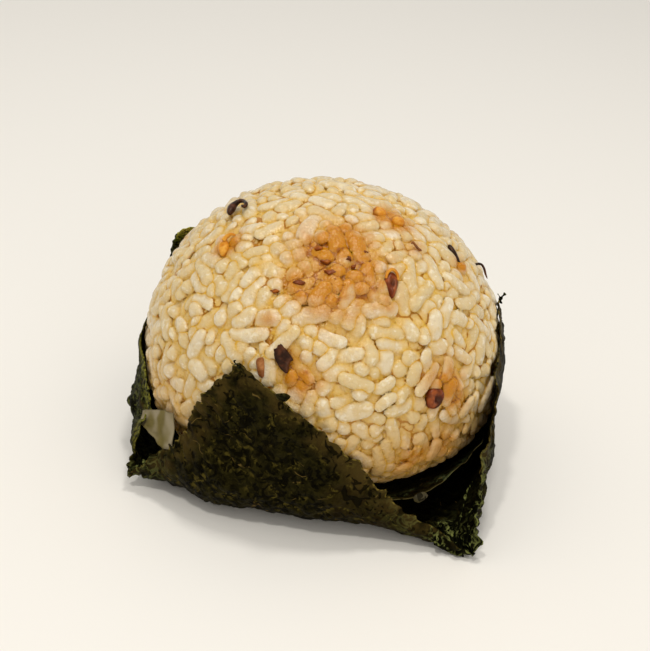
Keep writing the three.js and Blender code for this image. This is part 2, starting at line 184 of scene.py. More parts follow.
def seat(azimuth, z, lean=0.0):
    """A place on the rice to build a small thing on, and its sideways, upward and outward directions.

    lean 0 lies it on the rice, lean 1 stands it up to face the front.
    """
    place = on_ball(azimuth, z)
    out = unit(shell(place)[1] * (1 - lean) + TOWARD * lean)
    side = unit(LEVEL - out * (LEVEL @ out))
    return place, np.stack([side, np.cross(out, side), out])


def new_piece(name, points, faces, marks=None):
    """A mesh piece from points in millimetres and faces, with named numbers at its vertices."""
    mesh = bpy.data.meshes.new(name)
    faces = np.asarray(faces, dtype=np.int32)
    mesh.vertices.add(len(points))
    mesh.vertices.foreach_set("co", np.asarray(points, np.float32).ravel() * MM)
    corners = faces.shape[1]
    mesh.loops.add(faces.size)
    mesh.loops.foreach_set("vertex_index", faces.ravel())
    mesh.polygons.add(len(faces))
    mesh.polygons.foreach_set("loop_start", np.arange(0, faces.size, corners, dtype=np.int32))
    mesh.update(calc_edges=True)
    mesh.polygons.foreach_set("use_smooth", np.full(len(faces), True))
    for key, value in (marks or {}).items():
        mark = mesh.attributes.new(key, "FLOAT", "POINT")
        mark.data.foreach_set("value", np.asarray(value, np.float32).ravel())
    mesh.validate()
    piece = bpy.data.objects.new(name, mesh)
    bpy.context.scene.collection.objects.link(piece)
    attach(piece, "root")
    return piece


# ---------------------------------------------------------------- shader tools
class Wire:
    """What comes out of a node. Sums, differences and products of it add their Math nodes."""

    def __init__(self, finish, socket):
        self.finish, self.socket = finish, socket

    def _math(self, operation, first, second, clamp=False):
        """The Math node of that operation."""
        settings = {"operation": operation, "use_clamp": clamp}
        return self.finish.add("ShaderNodeMath", settings, {0: first, 1: second})

    def __add__(self, other):
        return self._math("ADD", self, other)

    def __sub__(self, other):
        return self._math("SUBTRACT", self, other)

    def __rsub__(self, other):
        return self._math("SUBTRACT", other, self)

    def __mul__(self, other):
        return self._math("MULTIPLY", self, other)

    __radd__ = __add__
    __rmul__ = __mul__

    def size(self):
        """Its size without its sign."""
        return self._math("ABSOLUTE", self, 0.0)

    def clip(self):
        """Kept between 0 and 1."""
        return self._math("ADD", self, 0.0, clamp=True)

    def between(self, low, high):
        """0 at low, 1 at high and a soft change between."""
        settings = {"interpolation_type": "SMOOTHSTEP"}
        return self.finish.add("ShaderNodeMapRange", settings, {0: self, 1: low, 2: high})


class Finish:
    """A material and its nodes."""

    def __init__(self, name):
        self.material = bpy.data.materials.new(name)
        self.material.use_nodes = True
        self.tree = self.material.node_tree
        self.tree.nodes.clear()

    def add(self, kind, settings=None, sockets=None, out=0):
        """A node of that kind: its settings first, then the values or wires of its sockets."""
        node = self.tree.nodes.new(kind)
        for key, value in (settings or {}).items():
            setattr(node, key, value)
        for key, value in (sockets or {}).items():
            if isinstance(value, Wire):
                self.tree.links.new(value.socket, node.inputs[key])
            else:
                node.inputs[key].default_value = value
        return Wire(self, node.outputs[out]) if len(node.outputs) else node

    def mark(self, name):
        """The number kept at the mesh's vertices under that name."""
        return self.add("ShaderNodeAttribute", {"attribute_name": name}, out=2)

    def place(self):
        """Where a point is in the part's own frame."""
        return self.add("ShaderNodeTexCoord", out=3)

    def up(self):
        """Height above the floor, in metres."""
        return self.add("ShaderNodeSeparateXYZ", None, {0: self.place()}, out=2)

    def lumps(self, size_mm, detail=2.0, rough=0.5, warp=0.0):
        """Noise whose lumps are about size_mm across."""
        sockets = {"Vector": self.place(), "Scale": 0.5 / (size_mm * MM), "Detail": detail}
        return self.add("ShaderNodeTexNoise", None, {**sockets, "Roughness": rough, "Distortion": warp})

    def blend(self, amount, first, second):
        """The first colour going over to the second."""
        return self.add("ShaderNodeMix", {"data_type": "RGBA"}, {0: amount, 6: first, 7: second}, out=2)

    def bump(self, height, depth_mm, strength=1.0, under=None):
        """A normal that follows a height, over the one under it."""
        sockets = {"Height": height, "Distance": depth_mm * MM, "Strength": strength}
        if under is not None:
            sockets["Normal"] = under
        return self.add("ShaderNodeBump", None, sockets)

    def surface(self, **sockets):
        """Closes the material with its sockets' values and wires."""
        named = {key.replace("_", " "): value for key, value in sockets.items()}
        shader = self.add("ShaderNodeBsdfPrincipled", None, named)
        self.add("ShaderNodeOutputMaterial", None, {"Surface": shader})
        return self.material


def tone(red, green, blue):
    """A colour from the 0 to 255 values a screen shows."""

    def linear(value):
        value /= 255
        return value / 12.92 if value <= 0.04045 else ((value + 0.055) / 1.055) ** 2.4

    return (linear(red), linear(green), linear(blue), 1.0)


# ---------------------------------------------------------------- packing the rice
GRAIN_LENGTH, GRAIN_WIDTH = (5.2, 8.8), (2.3, 3.25)
OUTER_GRAINS, TUCKED_GRAINS = 1000, 600
# How high a grain of the outer layer and one tucked in between may stand, and how much that varies
OUTER_TOP, TUCKED_TOP, TOP_VARIES = 0.36, -1.1, 0.20
# Share of two grains' radii at which they touch, how far they give way at a step, and the steps
SQUEEZE, GIVE, RELAX_STEPS = 0.74, 0.32, 90
NEIGHBOUR_REACH = 4.4

# Room kept free in the rice for other things: azimuth, height, length, width, turn
HOLLOWS = [
    (-177, 50.2, 2.6, 1.6, 2.4), (-149, 46.8, 3.2, 2.1, 1.7), (-102.6, 35.5, 4.6, 3.2, 2.1),
    (-109.0, 32.7, 3.0, 1.6, 1.6), (-61.9, 46.4, 4.4, 2.7, 1.6), (-52.7, 27.3, 3.4, 3.2, 0.3),
    (-12.7, 46.4, 3.9, 1.6, 2.2),
]
# Small red-brown bits in the soy stain and elsewhere: azimuth, height, size
SPECKS = [
    (-98, 50.7, 0.42), (-93, 49.4, 0.36), (-90, 48.2, 0.5), (-86.5, 47.2, 0.38), (-80, 49.9, 0.4),
    (-78, 49.0, 0.34), (-86, 46.0, 0.36), (-103, 46.3, 0.46), (-112, 44.5, 0.3), (-70, 50.6, 0.3),
]
AMBER_GRAINS = [(-30.4, 53.6, 1.35), (-26.6, 52.5, 1.2)]
# Where soy has soaked in: azimuth, height, reach across, strength
STAINS = [
    (-85, 50.4, 7.6, 1.0), (-88, 47.6, 7.0, 1.0), (-100, 46.6, 4.5, 0.65), (-75, 47.8, 4.0, 0.8),
    (-97, 50.6, 3.4, 0.7), (-68, 45.4, 3.6, 0.7), (-48, 29.5, 4.4, 0.9), (-44, 26.0, 3.4, 0.6),
    (-28, 52.8, 3.8, 1.0), (-95, 31.8, 3.2, 0.8), (-149, 47.4, 2.8, 0.8), (-38, 50, 2.4, 0.5),
    (-58, 15.5, 4.2, 0.5), (-47, 17, 4.0, 0.55), (-110, 40, 2.2, 0.35), (-15, 45, 2.5, 0.5),
    (-99.6, 34.5, 2.6, 0.9), (-95.5, 31.6, 2.2, 0.8), (-100.1, 31.7, 2.0, 0.6),
    (35, 44, 5.0, 0.7), (120, 33, 4.5, 0.6), (165, 40, 3.0, 0.5), (80, 50, 4.0, 0.4),
]


def spread(count, low_z, seed):
    """Evenly spread azimuths and profile angles over the ball above a height."""
    rng = np.random.default_rng(seed)
    fine = np.linspace(angle_at_height(low_z), 90, 900)
    r, z, _, _ = profile(fine)
    area = np.concatenate([[0], np.cumsum(np.hypot(np.diff(r), np.diff(z)) * (r[1:] + r[:-1]) / 2)])
    want = (np.arange(count) + 0.5) / count * area[-1]
    golden = 180 * (3 - math.sqrt(5))
    azimuth = np.arange(count) * golden + rng.normal(0, 1.5, count)
    return azimuth, np.interp(want, area, fine)


def near_pairs(p, reach):
    """Index pairs of points closer than reach that belong to different grains."""
    first, second = [], []
    grain = np.arange(len(p)) // 3
    single = p.astype(np.float32)
    for start in range(0, len(p), 500):
        block = single[start:start + 500]
        gap = ((block[:, None] - single[None]) ** 2).sum(-1)
        i, j = np.nonzero(gap < reach * reach)
        i += start
        keep = (i < j) & (grain[i] != grain[j])
        first.append(i[keep])
        second.append(j[keep])
    return np.concatenate(first), np.concatenate(second)


def loose_grains():
    """Grains spread over the ball: their middles, directions, lengths, widths and how high each may stand."""
    rng = np.random.default_rng(2207)
    total = OUTER_GRAINS + TUCKED_GRAINS
    azimuth, angle = spread(OUTER_GRAINS, 4.0, 11)
    tucked_azimuth, tucked_angle = spread(TUCKED_GRAINS, 5.0, 12)
    azimuth, angle = np.append(azimuth, tucked_azimuth + 37), np.append(angle, tucked_angle)
    r, z, nr, nz = profile(angle)
    a = np.radians(azimuth)
    out = np.stack([nr * np.cos(a), nr * np.sin(a), nz], axis=-1)
    east = np.stack([-np.sin(a), np.cos(a), 0 * a], axis=-1)
    north = np.cross(out, east)
    turn = rng.uniform(0, 2 * math.pi, total)
    # more grains show their ends low on the front right
    low_right = hump((azimuth + 45 + 180) % 360 - 180, 0, 50) * smooth(44, 30, z)
    size = 1.08 - 0.17 * low_right
    length, width = size * rng.uniform(*GRAIN_LENGTH, total), size * rng.uniform(*GRAIN_WIDTH, total)
    end_on = rng.random(total) < 0.05 + 0.22 * low_right
    lift = np.where(end_on, rng.uniform(0.6, 1.5, total), rng.normal(0, 0.15, total))
    flat = east * np.cos(turn)[:, None] + north * np.sin(turn)[:, None]
    along = flat * np.cos(lift)[:, None] + out * np.sin(lift)[:, None]
    tucked = np.arange(total) >= OUTER_GRAINS
    top = np.where(tucked, TUCKED_TOP, OUTER_TOP) + rng.normal(0, TOP_VARIES, total)
    sink = np.abs(np.sin(lift)) * (length - width) / 2 + width / 2
    centre = np.stack([r * np.cos(a), r * np.sin(a), z], axis=-1) + out * (top - sink)[:, None]
    return centre, along, length, width, top


def held_hollows():
    """The places kept free, in the same terms as the grains."""
    azimuth, z, length, width, turn = np.array(HOLLOWS).T
    place = on_ball(azimuth, z)
    _, way = shell(place)
    side = unit(np.cross([0, 0, 1.0], way))
    along = side * np.cos(turn)[:, None] + np.cross(way, side) * np.sin(turn)[:, None]
    return place - way * (0.15 * width)[:, None], along, length, width, np.zeros(len(HOLLOWS))


def pack_rice():
    """Grains as short rods of three beads, pushed apart and held under the surface until they lie packed."""
    pairs = zip(held_hollows(), loose_grains())
    centre, along, length, width, top = (np.concatenate(pair) for pair in pairs)
    held = len(HOLLOWS)
    held_centre, held_along = centre[:held], along[:held]
    rods = np.arange(len(centre))
    reach = np.maximum(length - width, 0) / 2
    offsets = np.array([-1.0, 0.0, 1.0])
    radius = np.repeat(width / 2, 3)
    beads = centre[:, None] + along[:, None] * (offsets[:, None] * reach[:, None, None])
    for step in range(RELAX_STEPS):
        p = beads.reshape(-1, 3)
        if step % 9 == 0:
            i, j = near_pairs(p, NEIGHBOUR_REACH)
        d = p[j] - p[i]
        gap = np.maximum(np.linalg.norm(d, axis=1), 1e-6)
        push = np.clip(SQUEEZE * (radius[i] + radius[j]) - gap, 0, None) * GIVE
        shove = d / gap[:, None] * push[:, None]
        move = np.zeros_like(p)
        for k in range(3):
            move[:, k] = np.bincount(j, shove[:, k], len(p)) - np.bincount(i, shove[:, k], len(p))
        beads = beads + move.reshape(beads.shape)
        height, way = shell(beads)
        height = height + (width / 2)[:, None]
        highest = np.argmax(height, axis=1)
        over = height[rods, highest] - top
        back = np.where(over > 0, over * 0.7, over * 0.16)
        beads = beads - (way[rods, highest] * back[:, None])[:, None]
        centre = beads.mean(axis=1)
        centre[:held] = held_centre
        along = unit(beads[:, 2] - beads[:, 0])
        along[:held] = held_along
        beads = centre[:, None] + along[:, None] * (offsets[:, None] * reach[:, None, None])
    return {"centre": beads[:, 1], "along": along, "length": length, "width": width}


GRID = 0.50         # cells of the grid on which the heap is worked out
FUSE = 0.12         # how softly grains join where they touch
CORE_DEPTH = 1.9    # depth of the whole core under the ball's mean surface
GAP_DEPTH = 0.6     # share kept of the depth of the gaps between grains
BAND = 1.1          # how far round a grain its distance is worked out
COARSE_BELOW, COARSE_STEP = 8.0, 1.5
FAR = 9.0


def grain_forms(rice, seed):
    """How each grain is turned about its length, bent, tapered, flattened and nicked at its germ."""
    rng = np.random.default_rng(seed)
    n = len(rice["centre"])
    _, way = shell(rice["centre"])
    side = unit(np.cross(rice["along"], way + 0.35 * rng.normal(size=(n, 3))))
    return {
        "side": side, "up": np.cross(side, rice["along"]),
        "bend": rng.uniform(-0.75, 0.75, n), "bend_up": rng.uniform(-0.2, 0.35, n),
        "taper": rng.uniform(-0.16, 0.16, n), "flat": rng.uniform(0.66, 0.92, n),
        "nick": rng.uniform(0, 2 * math.pi, n), "shade": rng.random(n),
    }


def grain_gap(rice, forms, g, x, y, z):
    """Distance out of one grain for points given along it, across it and up from it."""
    half, fat = rice["length"][g] / 2, rice["width"][g] / 2
    at = np.clip(x / half, -1.15, 1.15)
    y = y - forms["bend"][g] * (at * at - 0.35)
    z = (z + forms["bend_up"][g] * (at * at - 0.35)) / forms["flat"][g]
    past = np.clip(np.abs(x) - (half - fat), 0, None)
    fat = fat * (1 + 0.05 - 0.16 * at * at + forms["taper"][g] * at)
    round_ = np.arctan2(z, y) - forms["nick"][g]
    germ = 0.26 * hump(at, 0.74, 0.2) * np.clip(np.cos(round_), 0, 1) ** 2
    groove = 0.07 * hump(np.sin(round_ / 2 + 0.8), 0, 0.16) * (1 - at * at)
    return np.sqrt(past * past * 1.1 + y * y + z * z) - fat + germ + groove


def settle(body, p):
    """The heap's distance at points, with fine lumps and its outside pressed and its foot flat."""
    height, _ = shell(p)
    body = body + 0.12 * field(p, 1.5, 21) + 0.05 * field(p, 0.8, 22)
    limit = 0.05 + 0.27 * smooth(8, 17, p[..., 2]) + 0.14 * smooth(30, 44, p[..., 2])
    pressed = np.maximum(height - limit - 0.16 * field(p, 4.5, 23), FOOT_Z - 0.25 - p[..., 2])
    mix = np.clip(0.5 + 0.5 * (body - pressed) / 0.40, 0, 1)
    return pressed * (1 - mix) + body * mix + 0.40 * mix * (1 - mix)


def fused(gap):
    """How much a grain or the core at that distance adds to the heap."""
    return np.exp(-np.clip(gap, -2, 3) / FUSE)


def heap_field(rice, forms):
    """The fused heap over a grid, and the nearest and next nearest grain at each of its corners."""
    low = np.array([-38.0, -38.0, 0.2])
    size = np.ceil((np.array([38.0, 38.0, 57.0]) - low) / GRID).astype(int) + 1
    axes = [low[k] + GRID * np.arange(size[k]) for k in range(3)]
    total = np.zeros(size, np.float32)
    best = np.full(size, FAR, np.float32)
    second = np.full(size, FAR, np.float32)
    owner = np.zeros(size, np.int16)
    runner = np.zeros(size, np.int16)
    for g in range(len(HOLLOWS), len(rice["centre"])):
        c, a = rice["centre"][g], rice["along"][g]
        s, u = forms["side"][g], forms["up"][g]
        reach = np.abs(a) * (rice["length"][g] - rice["width"][g]) / 2 + rice["width"][g] / 2 + BAND + 0.3
        first = np.maximum(np.floor((c - reach - low) / GRID).astype(int), 0)
        last = np.minimum(np.ceil((c + reach - low) / GRID).astype(int) + 1, size)
        if np.any(last <= first):
            continue
        box = tuple(slice(first[k], last[k]) for k in range(3))
        dx = (axes[0][box[0]] - c[0])[:, None, None]
        dy = (axes[1][box[1]] - c[1])[None, :, None]
        dz = (axes[2][box[2]] - c[2])[None, None, :]
        gap = grain_gap(rice, forms, g, *(dx * v[0] + dy * v[1] + dz * v[2] for v in (a, s, u)))
        gap = gap.astype(np.float32)
        total[box] += fused(gap)
        closer, near = gap < best[box], gap < second[box]
        runner[box] = np.where(closer, owner[box], np.where(near, g, runner[box]))
        second[box] = np.where(closer, best[box], np.minimum(second[box], gap))
        owner[box] = np.where(closer, g, owner[box])
        best[box] = np.minimum(best[box], gap)
    grid = np.stack(np.meshgrid(*axes, indexing="ij"), axis=-1).astype(np.float32)
    height = shell(grid)[0].astype(np.float32)
    total += fused(height + CORE_DEPTH)
    body = -FUSE * np.log(total + 1e-9)
    near = np.abs(body) < 1.2
    body[near] = settle(body[near], grid[near])
    # hollows that nothing reaches from outside are rice too
    open_air = height > 0.9
    air = open_air
    for _ in range(12):
        wider = air.copy()
        for axis in range(3):
            for shift in (-1, 1):
                wider |= np.roll(air, shift, axis)
        air = (wider & (body > 0)) | open_air
    body = np.where(air | (body < 0), body, -0.05)
    return low, body, owner, runner


def skin(body):
    """Faces of the surface where a grid crosses 0, with a point inside each cell that it crosses."""
    inside = body < 0
    nx, ny, nz = (n - 1 for n in body.shape)
    corners = [(i, j, k) for i in (0, 1) for j in (0, 1) for k in (0, 1)]

    def at(array, c):
        return array[c[0]:nx + c[0], c[1]:ny + c[1], c[2]:nz + c[2]]

    count = sum(at(inside, c).astype(np.int8) for c in corners)
    cells = np.argwhere((count > 0) & (count < 8))
    number = np.full((nx, ny, nz), -1, np.int32)
    number[tuple(cells.T)] = np.arange(len(cells))
    values = {c: body[tuple((cells + c).T)] for c in corners}
    total = np.zeros((len(cells), 3))
    hits = np.zeros(len(cells))
    for c in corners:
        for axis in range(3):
            if c[axis]:
                continue
            d = tuple(1 if k == axis else c[k] for k in range(3))
            va, vb = values[c], values[d]
            crossed = (va < 0) != (vb < 0)
            t = np.where(crossed, va / np.where(crossed, va - vb, 1), 0)
            place = np.array(c, float) + t[:, None] * (np.arange(3) == axis)
            total += place * crossed[:, None]
            hits += crossed
    points = cells + total / hits[:, None]
    faces = []
    for axis in range(3):
        one, two = (axis + 1) % 3, (axis + 2) % 3
        ahead = [slice(None)] * 3
        behind = [slice(None)] * 3
        ahead[axis], behind[axis] = slice(1, None), slice(None, -1)
        a, b = inside[tuple(behind)], inside[tuple(ahead)]
        edges = np.argwhere(a != b)
        limits = np.array([nx, ny, nz])
        fine = np.all(edges > 0, axis=1) & np.all(edges < limits, axis=1)
        edges = edges[fine]
        flip = b[tuple(edges.T)]
        ring = []
        for back_one, back_two in ((1, 1), (0, 1), (0, 0), (1, 0)):
            cell = edges.copy()
            cell[:, one] -= back_one
            cell[:, two] -= back_two
            ring.append(number[tuple(cell.T)])
        ring = np.stack(ring, axis=1)
        ring[flip] = ring[flip][:, ::-1]
        faces.append(ring)
    return points, np.concatenate(faces)


def true_heap(rice, forms, ids, points):
    """The heap's distance at points, and the distance out of each of the grains listed for them."""
    d = points - rice["centre"][ids]
    x, y, z = ((d * v[ids]).sum(-1) for v in (rice["along"], forms["side"], forms["up"]))
    gaps = np.where(ids > 0, grain_gap(rice, forms, ids, x, y, z), FAR)
    total = fused(gaps).sum(0) + fused(shell(points)[0] + CORE_DEPTH)
    return settle(-FUSE * np.log(total + 1e-9), points), gaps


def refine(rice, forms, owner, runner, low, cells):
    """Moves the points onto the true surface, and those beside a seam between grains onto the seam."""
    base = np.clip(np.floor(cells).astype(int), 0, np.array(owner.shape) - 2)
    ids = [owner[tuple((base + [i, j, k]).T)] for i in (0, 1) for j in (0, 1) for k in (0, 1)]
    near = np.round(cells).astype(int)
    ids = np.sort(np.stack([*ids, runner[tuple(near.T)]]).astype(int), axis=0)
    ids[1:][ids[1:] == ids[:-1]] = 0
    points = low + cells * GRID
    rows = np.arange(len(points))
    nudge, turns = 0.03, 4
    for turn in range(turns + 1):
        value, gaps = true_heap(rice, forms, ids, points)
        order = np.argsort(gaps, axis=0)
        pair = [gaps[order[k], rows] for k in (0, 1)]
        crease = pair[1] - pair[0]
        slope, parted = np.empty_like(points), np.empty_like(points)
        for axis in range(3):
            moved = true_heap(rice, forms, ids, points + nudge * (np.arange(3) == axis))
            slope[:, axis] = (moved[0] - value) / nudge
            shift = [moved[1][order[k], rows] - pair[k] for k in (0, 1)]
            parted[:, axis] = (shift[1] - shift[0]) / nudge
        if turn == turns:
            break
        points = points - np.clip(slope * (value / np.maximum((slope**2).sum(1), 0.1))[:, None], -0.3, 0.3)
        if turn in (0, 2):
            normal = unit(slope)
            parted = parted - normal * (parted * normal).sum(1)[:, None]
            step = -parted * (crease / np.maximum((parted**2).sum(1), 0.05))[:, None]
            far = np.linalg.norm(step, axis=1)
            points = points + step * ((far < 0.30) & (pair[1] < 0.9))[:, None]
    weight = np.exp(-np.clip(gaps - pair[0], 0, 3) / 0.05)
    shade = (weight * forms["shade"][ids]).sum(0) / weight.sum(0)
    return points, np.minimum(crease, 3), shade


def coarsen(points, faces, marks):
    """Merges the points of the hidden foot into fewer, and makes triangles of all faces."""
    cell = np.floor(points / COARSE_STEP).astype(np.int64)
    key = (cell[:, 0] + 500) * 1000000 + (cell[:, 1] + 500) * 1000 + cell[:, 2]
    low = points[:, 2] < COARSE_BELOW
    key = np.where(low, key, 10**10 + np.arange(len(points)))
    _, number, count = np.unique(key, return_inverse=True, return_counts=True)

    def mean(values):
        return np.bincount(number, values) / count

    points = np.stack([mean(points[:, k]) for k in range(3)], axis=1)
    marks = {name: mean(value) for name, value in marks.items()}
    faces = number[faces]
    # quads are cut along a seam, or along their shorter diagonal
    a, b, c, d = (points[faces[:, k]] for k in range(4))
    off = np.minimum(marks["crease"], 0.4)[faces]
    one = np.linalg.norm(a - c, axis=1) + 1.5 * (off[:, 0] + off[:, 2])
    two = np.linalg.norm(b - d, axis=1) + 1.5 * (off[:, 1] + off[:, 3])
    short = (one < two)[:, None]
    first = np.where(short, faces[:, [0, 1, 2]], faces[:, [0, 1, 3]])
    second = np.where(short, faces[:, [0, 2, 3]], faces[:, [1, 2, 3]])
    faces = np.concatenate([first, second])
    whole = (faces[:, 0] != faces[:, 1]) & (faces[:, 1] != faces[:, 2]) & (faces[:, 0] != faces[:, 2])
    faces = faces[whole]
    _, once = np.unique(np.sort(faces, axis=1), axis=0, return_index=True)
    return points, faces[np.sort(once)], marks


def rice_heap(rice):
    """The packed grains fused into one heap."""
    forms = grain_forms(rice, 909)
    low, body, owner, runner = heap_field(rice, forms)
    cells, faces = skin(body)
    points, crease, shade = refine(rice, forms, owner, runner, low, cells)
    height, way = shell(points)
    marks = {"crease": crease, "shade": shade, "height": height, "soy": soaked(points)}
    # the gaps between pressed grains are shallow
    points = points + way * ((1 - GAP_DEPTH) * np.clip(-0.15 - height, 0, None))[:, None]
    points, faces, marks = coarsen(points, faces, marks)
    return new_piece("rice_heap", points, faces, marks)


def soaked(points):
    """How much soy has soaked in, 0 to 1, broken up by lumps."""
    total = np.zeros(points.shape[:-1])
    for azimuth, z, reach, strength in STAINS:
        d = np.linalg.norm(points - on_ball(azimuth, z), axis=-1)
        total = np.maximum(total, strength * np.exp(-1.1 * (d / reach) ** 2))
    rough = 0.65 + 0.35 * field(points, 3.2, 5) + 0.25 * field(points, 1.4, 6)
    return np.clip(total * rough * 1.9, 0, 1)


def follow(rows, count):
    """A smooth line of count points through rows of numbers."""
    rows = np.array(rows, float)
    n = len(rows)
    at = np.linspace(0, n - 1, count)
    i = np.minimum(at.astype(int), n - 2)
    w = (at - i)[:, None]
    a, b = rows[np.maximum(i - 1, 0)], rows[i]
    c, d = rows[i + 1], rows[np.minimum(i + 2, n - 1)]
    return 0.5 * (2 * b + (c - a) * w + (2 * a - 5 * b + 4 * c - d) * w**2 + (3 * b - a - 3 * c + d) * w**3)


def ring_faces(number):
    """Triangles between closed rings of point numbers, each ring a row."""
    a, b = number[:-1], np.roll(number[:-1], -1, axis=1)
    c, d = np.roll(number[1:], -1, axis=1), number[1:]
    return np.concatenate([np.stack([a, b, c], -1).reshape(-1, 3), np.stack([a, c, d], -1).reshape(-1, 3)])


def cap_faces(tip, first, second):
    """Triangles that close a ring of point numbers at its tip."""
    return np.stack([0 * first + tip, first, second], -1)


def nori_marks(rim, relief, thin, left=0.0, crumple=0.0, film=0.0):
    """The numbers that the nori's finishes read at each point: how far in from the rim it is, how high the
    relief stands, where the sheet is thin, how much of the left flap's netted colour with its painted light
    it takes, and how crumpled (with painted light and shade) or clear it is there."""
    one = np.ones(np.shape(thin))
    rows = {"rim": rim, "relief": relief, "thin": thin, "left": left, "crumple": crumple, "film": film}
    return {key: value * one for key, value in rows.items()}


def tube(name, rows, rough=0.0, flat=1.0):
    """A closed round body along a line of (x, y, z, radius) rows."""
    around, count = 14, 40
    line = follow(rows, count)
    path, radius = line[:, :3], line[:, 3]
    ahead = unit(np.gradient(path, axis=0))
    side = np.empty_like(ahead)
    side[0] = unit(np.cross(ahead[0], [0.31, 0.2, 0.9]))
    for k in range(1, count):
        side[k] = unit(side[k - 1] - ahead[k] * (side[k - 1] @ ahead[k]))
    up = np.cross(ahead, side)
    turn = np.linspace(0, 2 * np.pi, around, endpoint=False)
    end = np.minimum(np.arange(count), np.arange(count)[::-1]) / 3.0
    radius = radius * np.sqrt(np.clip(1 - (1 - np.clip(end, 0, 1)) ** 2, 0.02, 1))
    ring = side[:, None] * np.cos(turn)[None, :, None] + flat * up[:, None] * np.sin(turn)[None, :, None]
    points = path[:, None] + ring * radius[:, None, None]
    points = points + ring * (rough * (field(points, 0.9, 41) + 0.6 * field(points, 0.45, 42)))[..., None]
    number = np.arange(count * around).reshape(count, around) + 2
    faces = np.concatenate([
        ring_faces(number), cap_faces(0, np.roll(number[0], -1), number[0]),
        cap_faces(1, number[-1], np.roll(number[-1], -1))])
    points = np.concatenate([path[:1], path[-1:], points.reshape(-1, 3)])
    marks = nori_marks(0.6, 0.1, field(points, 1.5, 43), crumple=1.0)
    marks["end"] = np.concatenate([[0, 1], np.repeat(np.linspace(0, 1, count), around)])
    return new_piece(name, points, faces, marks)


def bead(name, where, outline, dome, pit=0.0):
    """A seed or husk sunk in the rice: an outline in its seat, domed, and hollowed at its middle."""
    place, axes = where
    around, rings = 56, 14
    sunk = 0.35
    rows = np.array(outline, float)
    closed = np.concatenate([rows[-1:], rows, rows[:2]])
    line = follow(closed, (len(closed) - 1) * 24 + 1)[24:-24]
    line = line[np.linspace(0, len(line) - 1, around, endpoint=False).astype(int)]
    middle = line.mean(axis=0)
    share = np.cos(np.linspace(0, np.pi / 2, rings, endpoint=False))
    flat = middle + (line - middle)[None] * share[:, None, None]
    rise = dome * np.sqrt(np.clip(1 - share**2, 0, 1)) - pit * hump(share, 0, 0.38) - sunk
    local = np.concatenate([flat, np.broadcast_to(rise[:, None, None], (rings, around, 1))], axis=-1)
    foot = np.concatenate([line * 0.9 + middle * 0.1, np.full((around, 1), -1.3)], axis=1)
    crown = np.append(middle, dome - pit - sunk)
    base = np.append(middle, -1.4)
    local = np.concatenate([foot[None], local]).reshape(-1, 3)
    points = place + np.concatenate([local, [base], [crown]]) @ axes
    wobble = 0.10 * field(points, 1.1, 51) + 0.06 * field(points, 0.5, 52)
    points = points + axes[2] * wobble[:, None]
    number = np.arange((rings + 1) * around).reshape(rings + 1, around)
    base_at, crown_at = len(points) - 2, len(points) - 1
    faces = np.concatenate([
        ring_faces(number), cap_faces(base_at, np.roll(number[0], -1), number[0]),
        cap_faces(crown_at, number[-1], np.roll(number[-1], -1))])
    if np.cross(line[0] - middle, line[8] - middle) < 0:
        faces = faces[:, ::-1]
    inward = np.concatenate([[1.0], share])
    return new_piece(name, points, faces, {"end": np.concatenate([np.repeat(1 - inward, around), [0, 1]])})


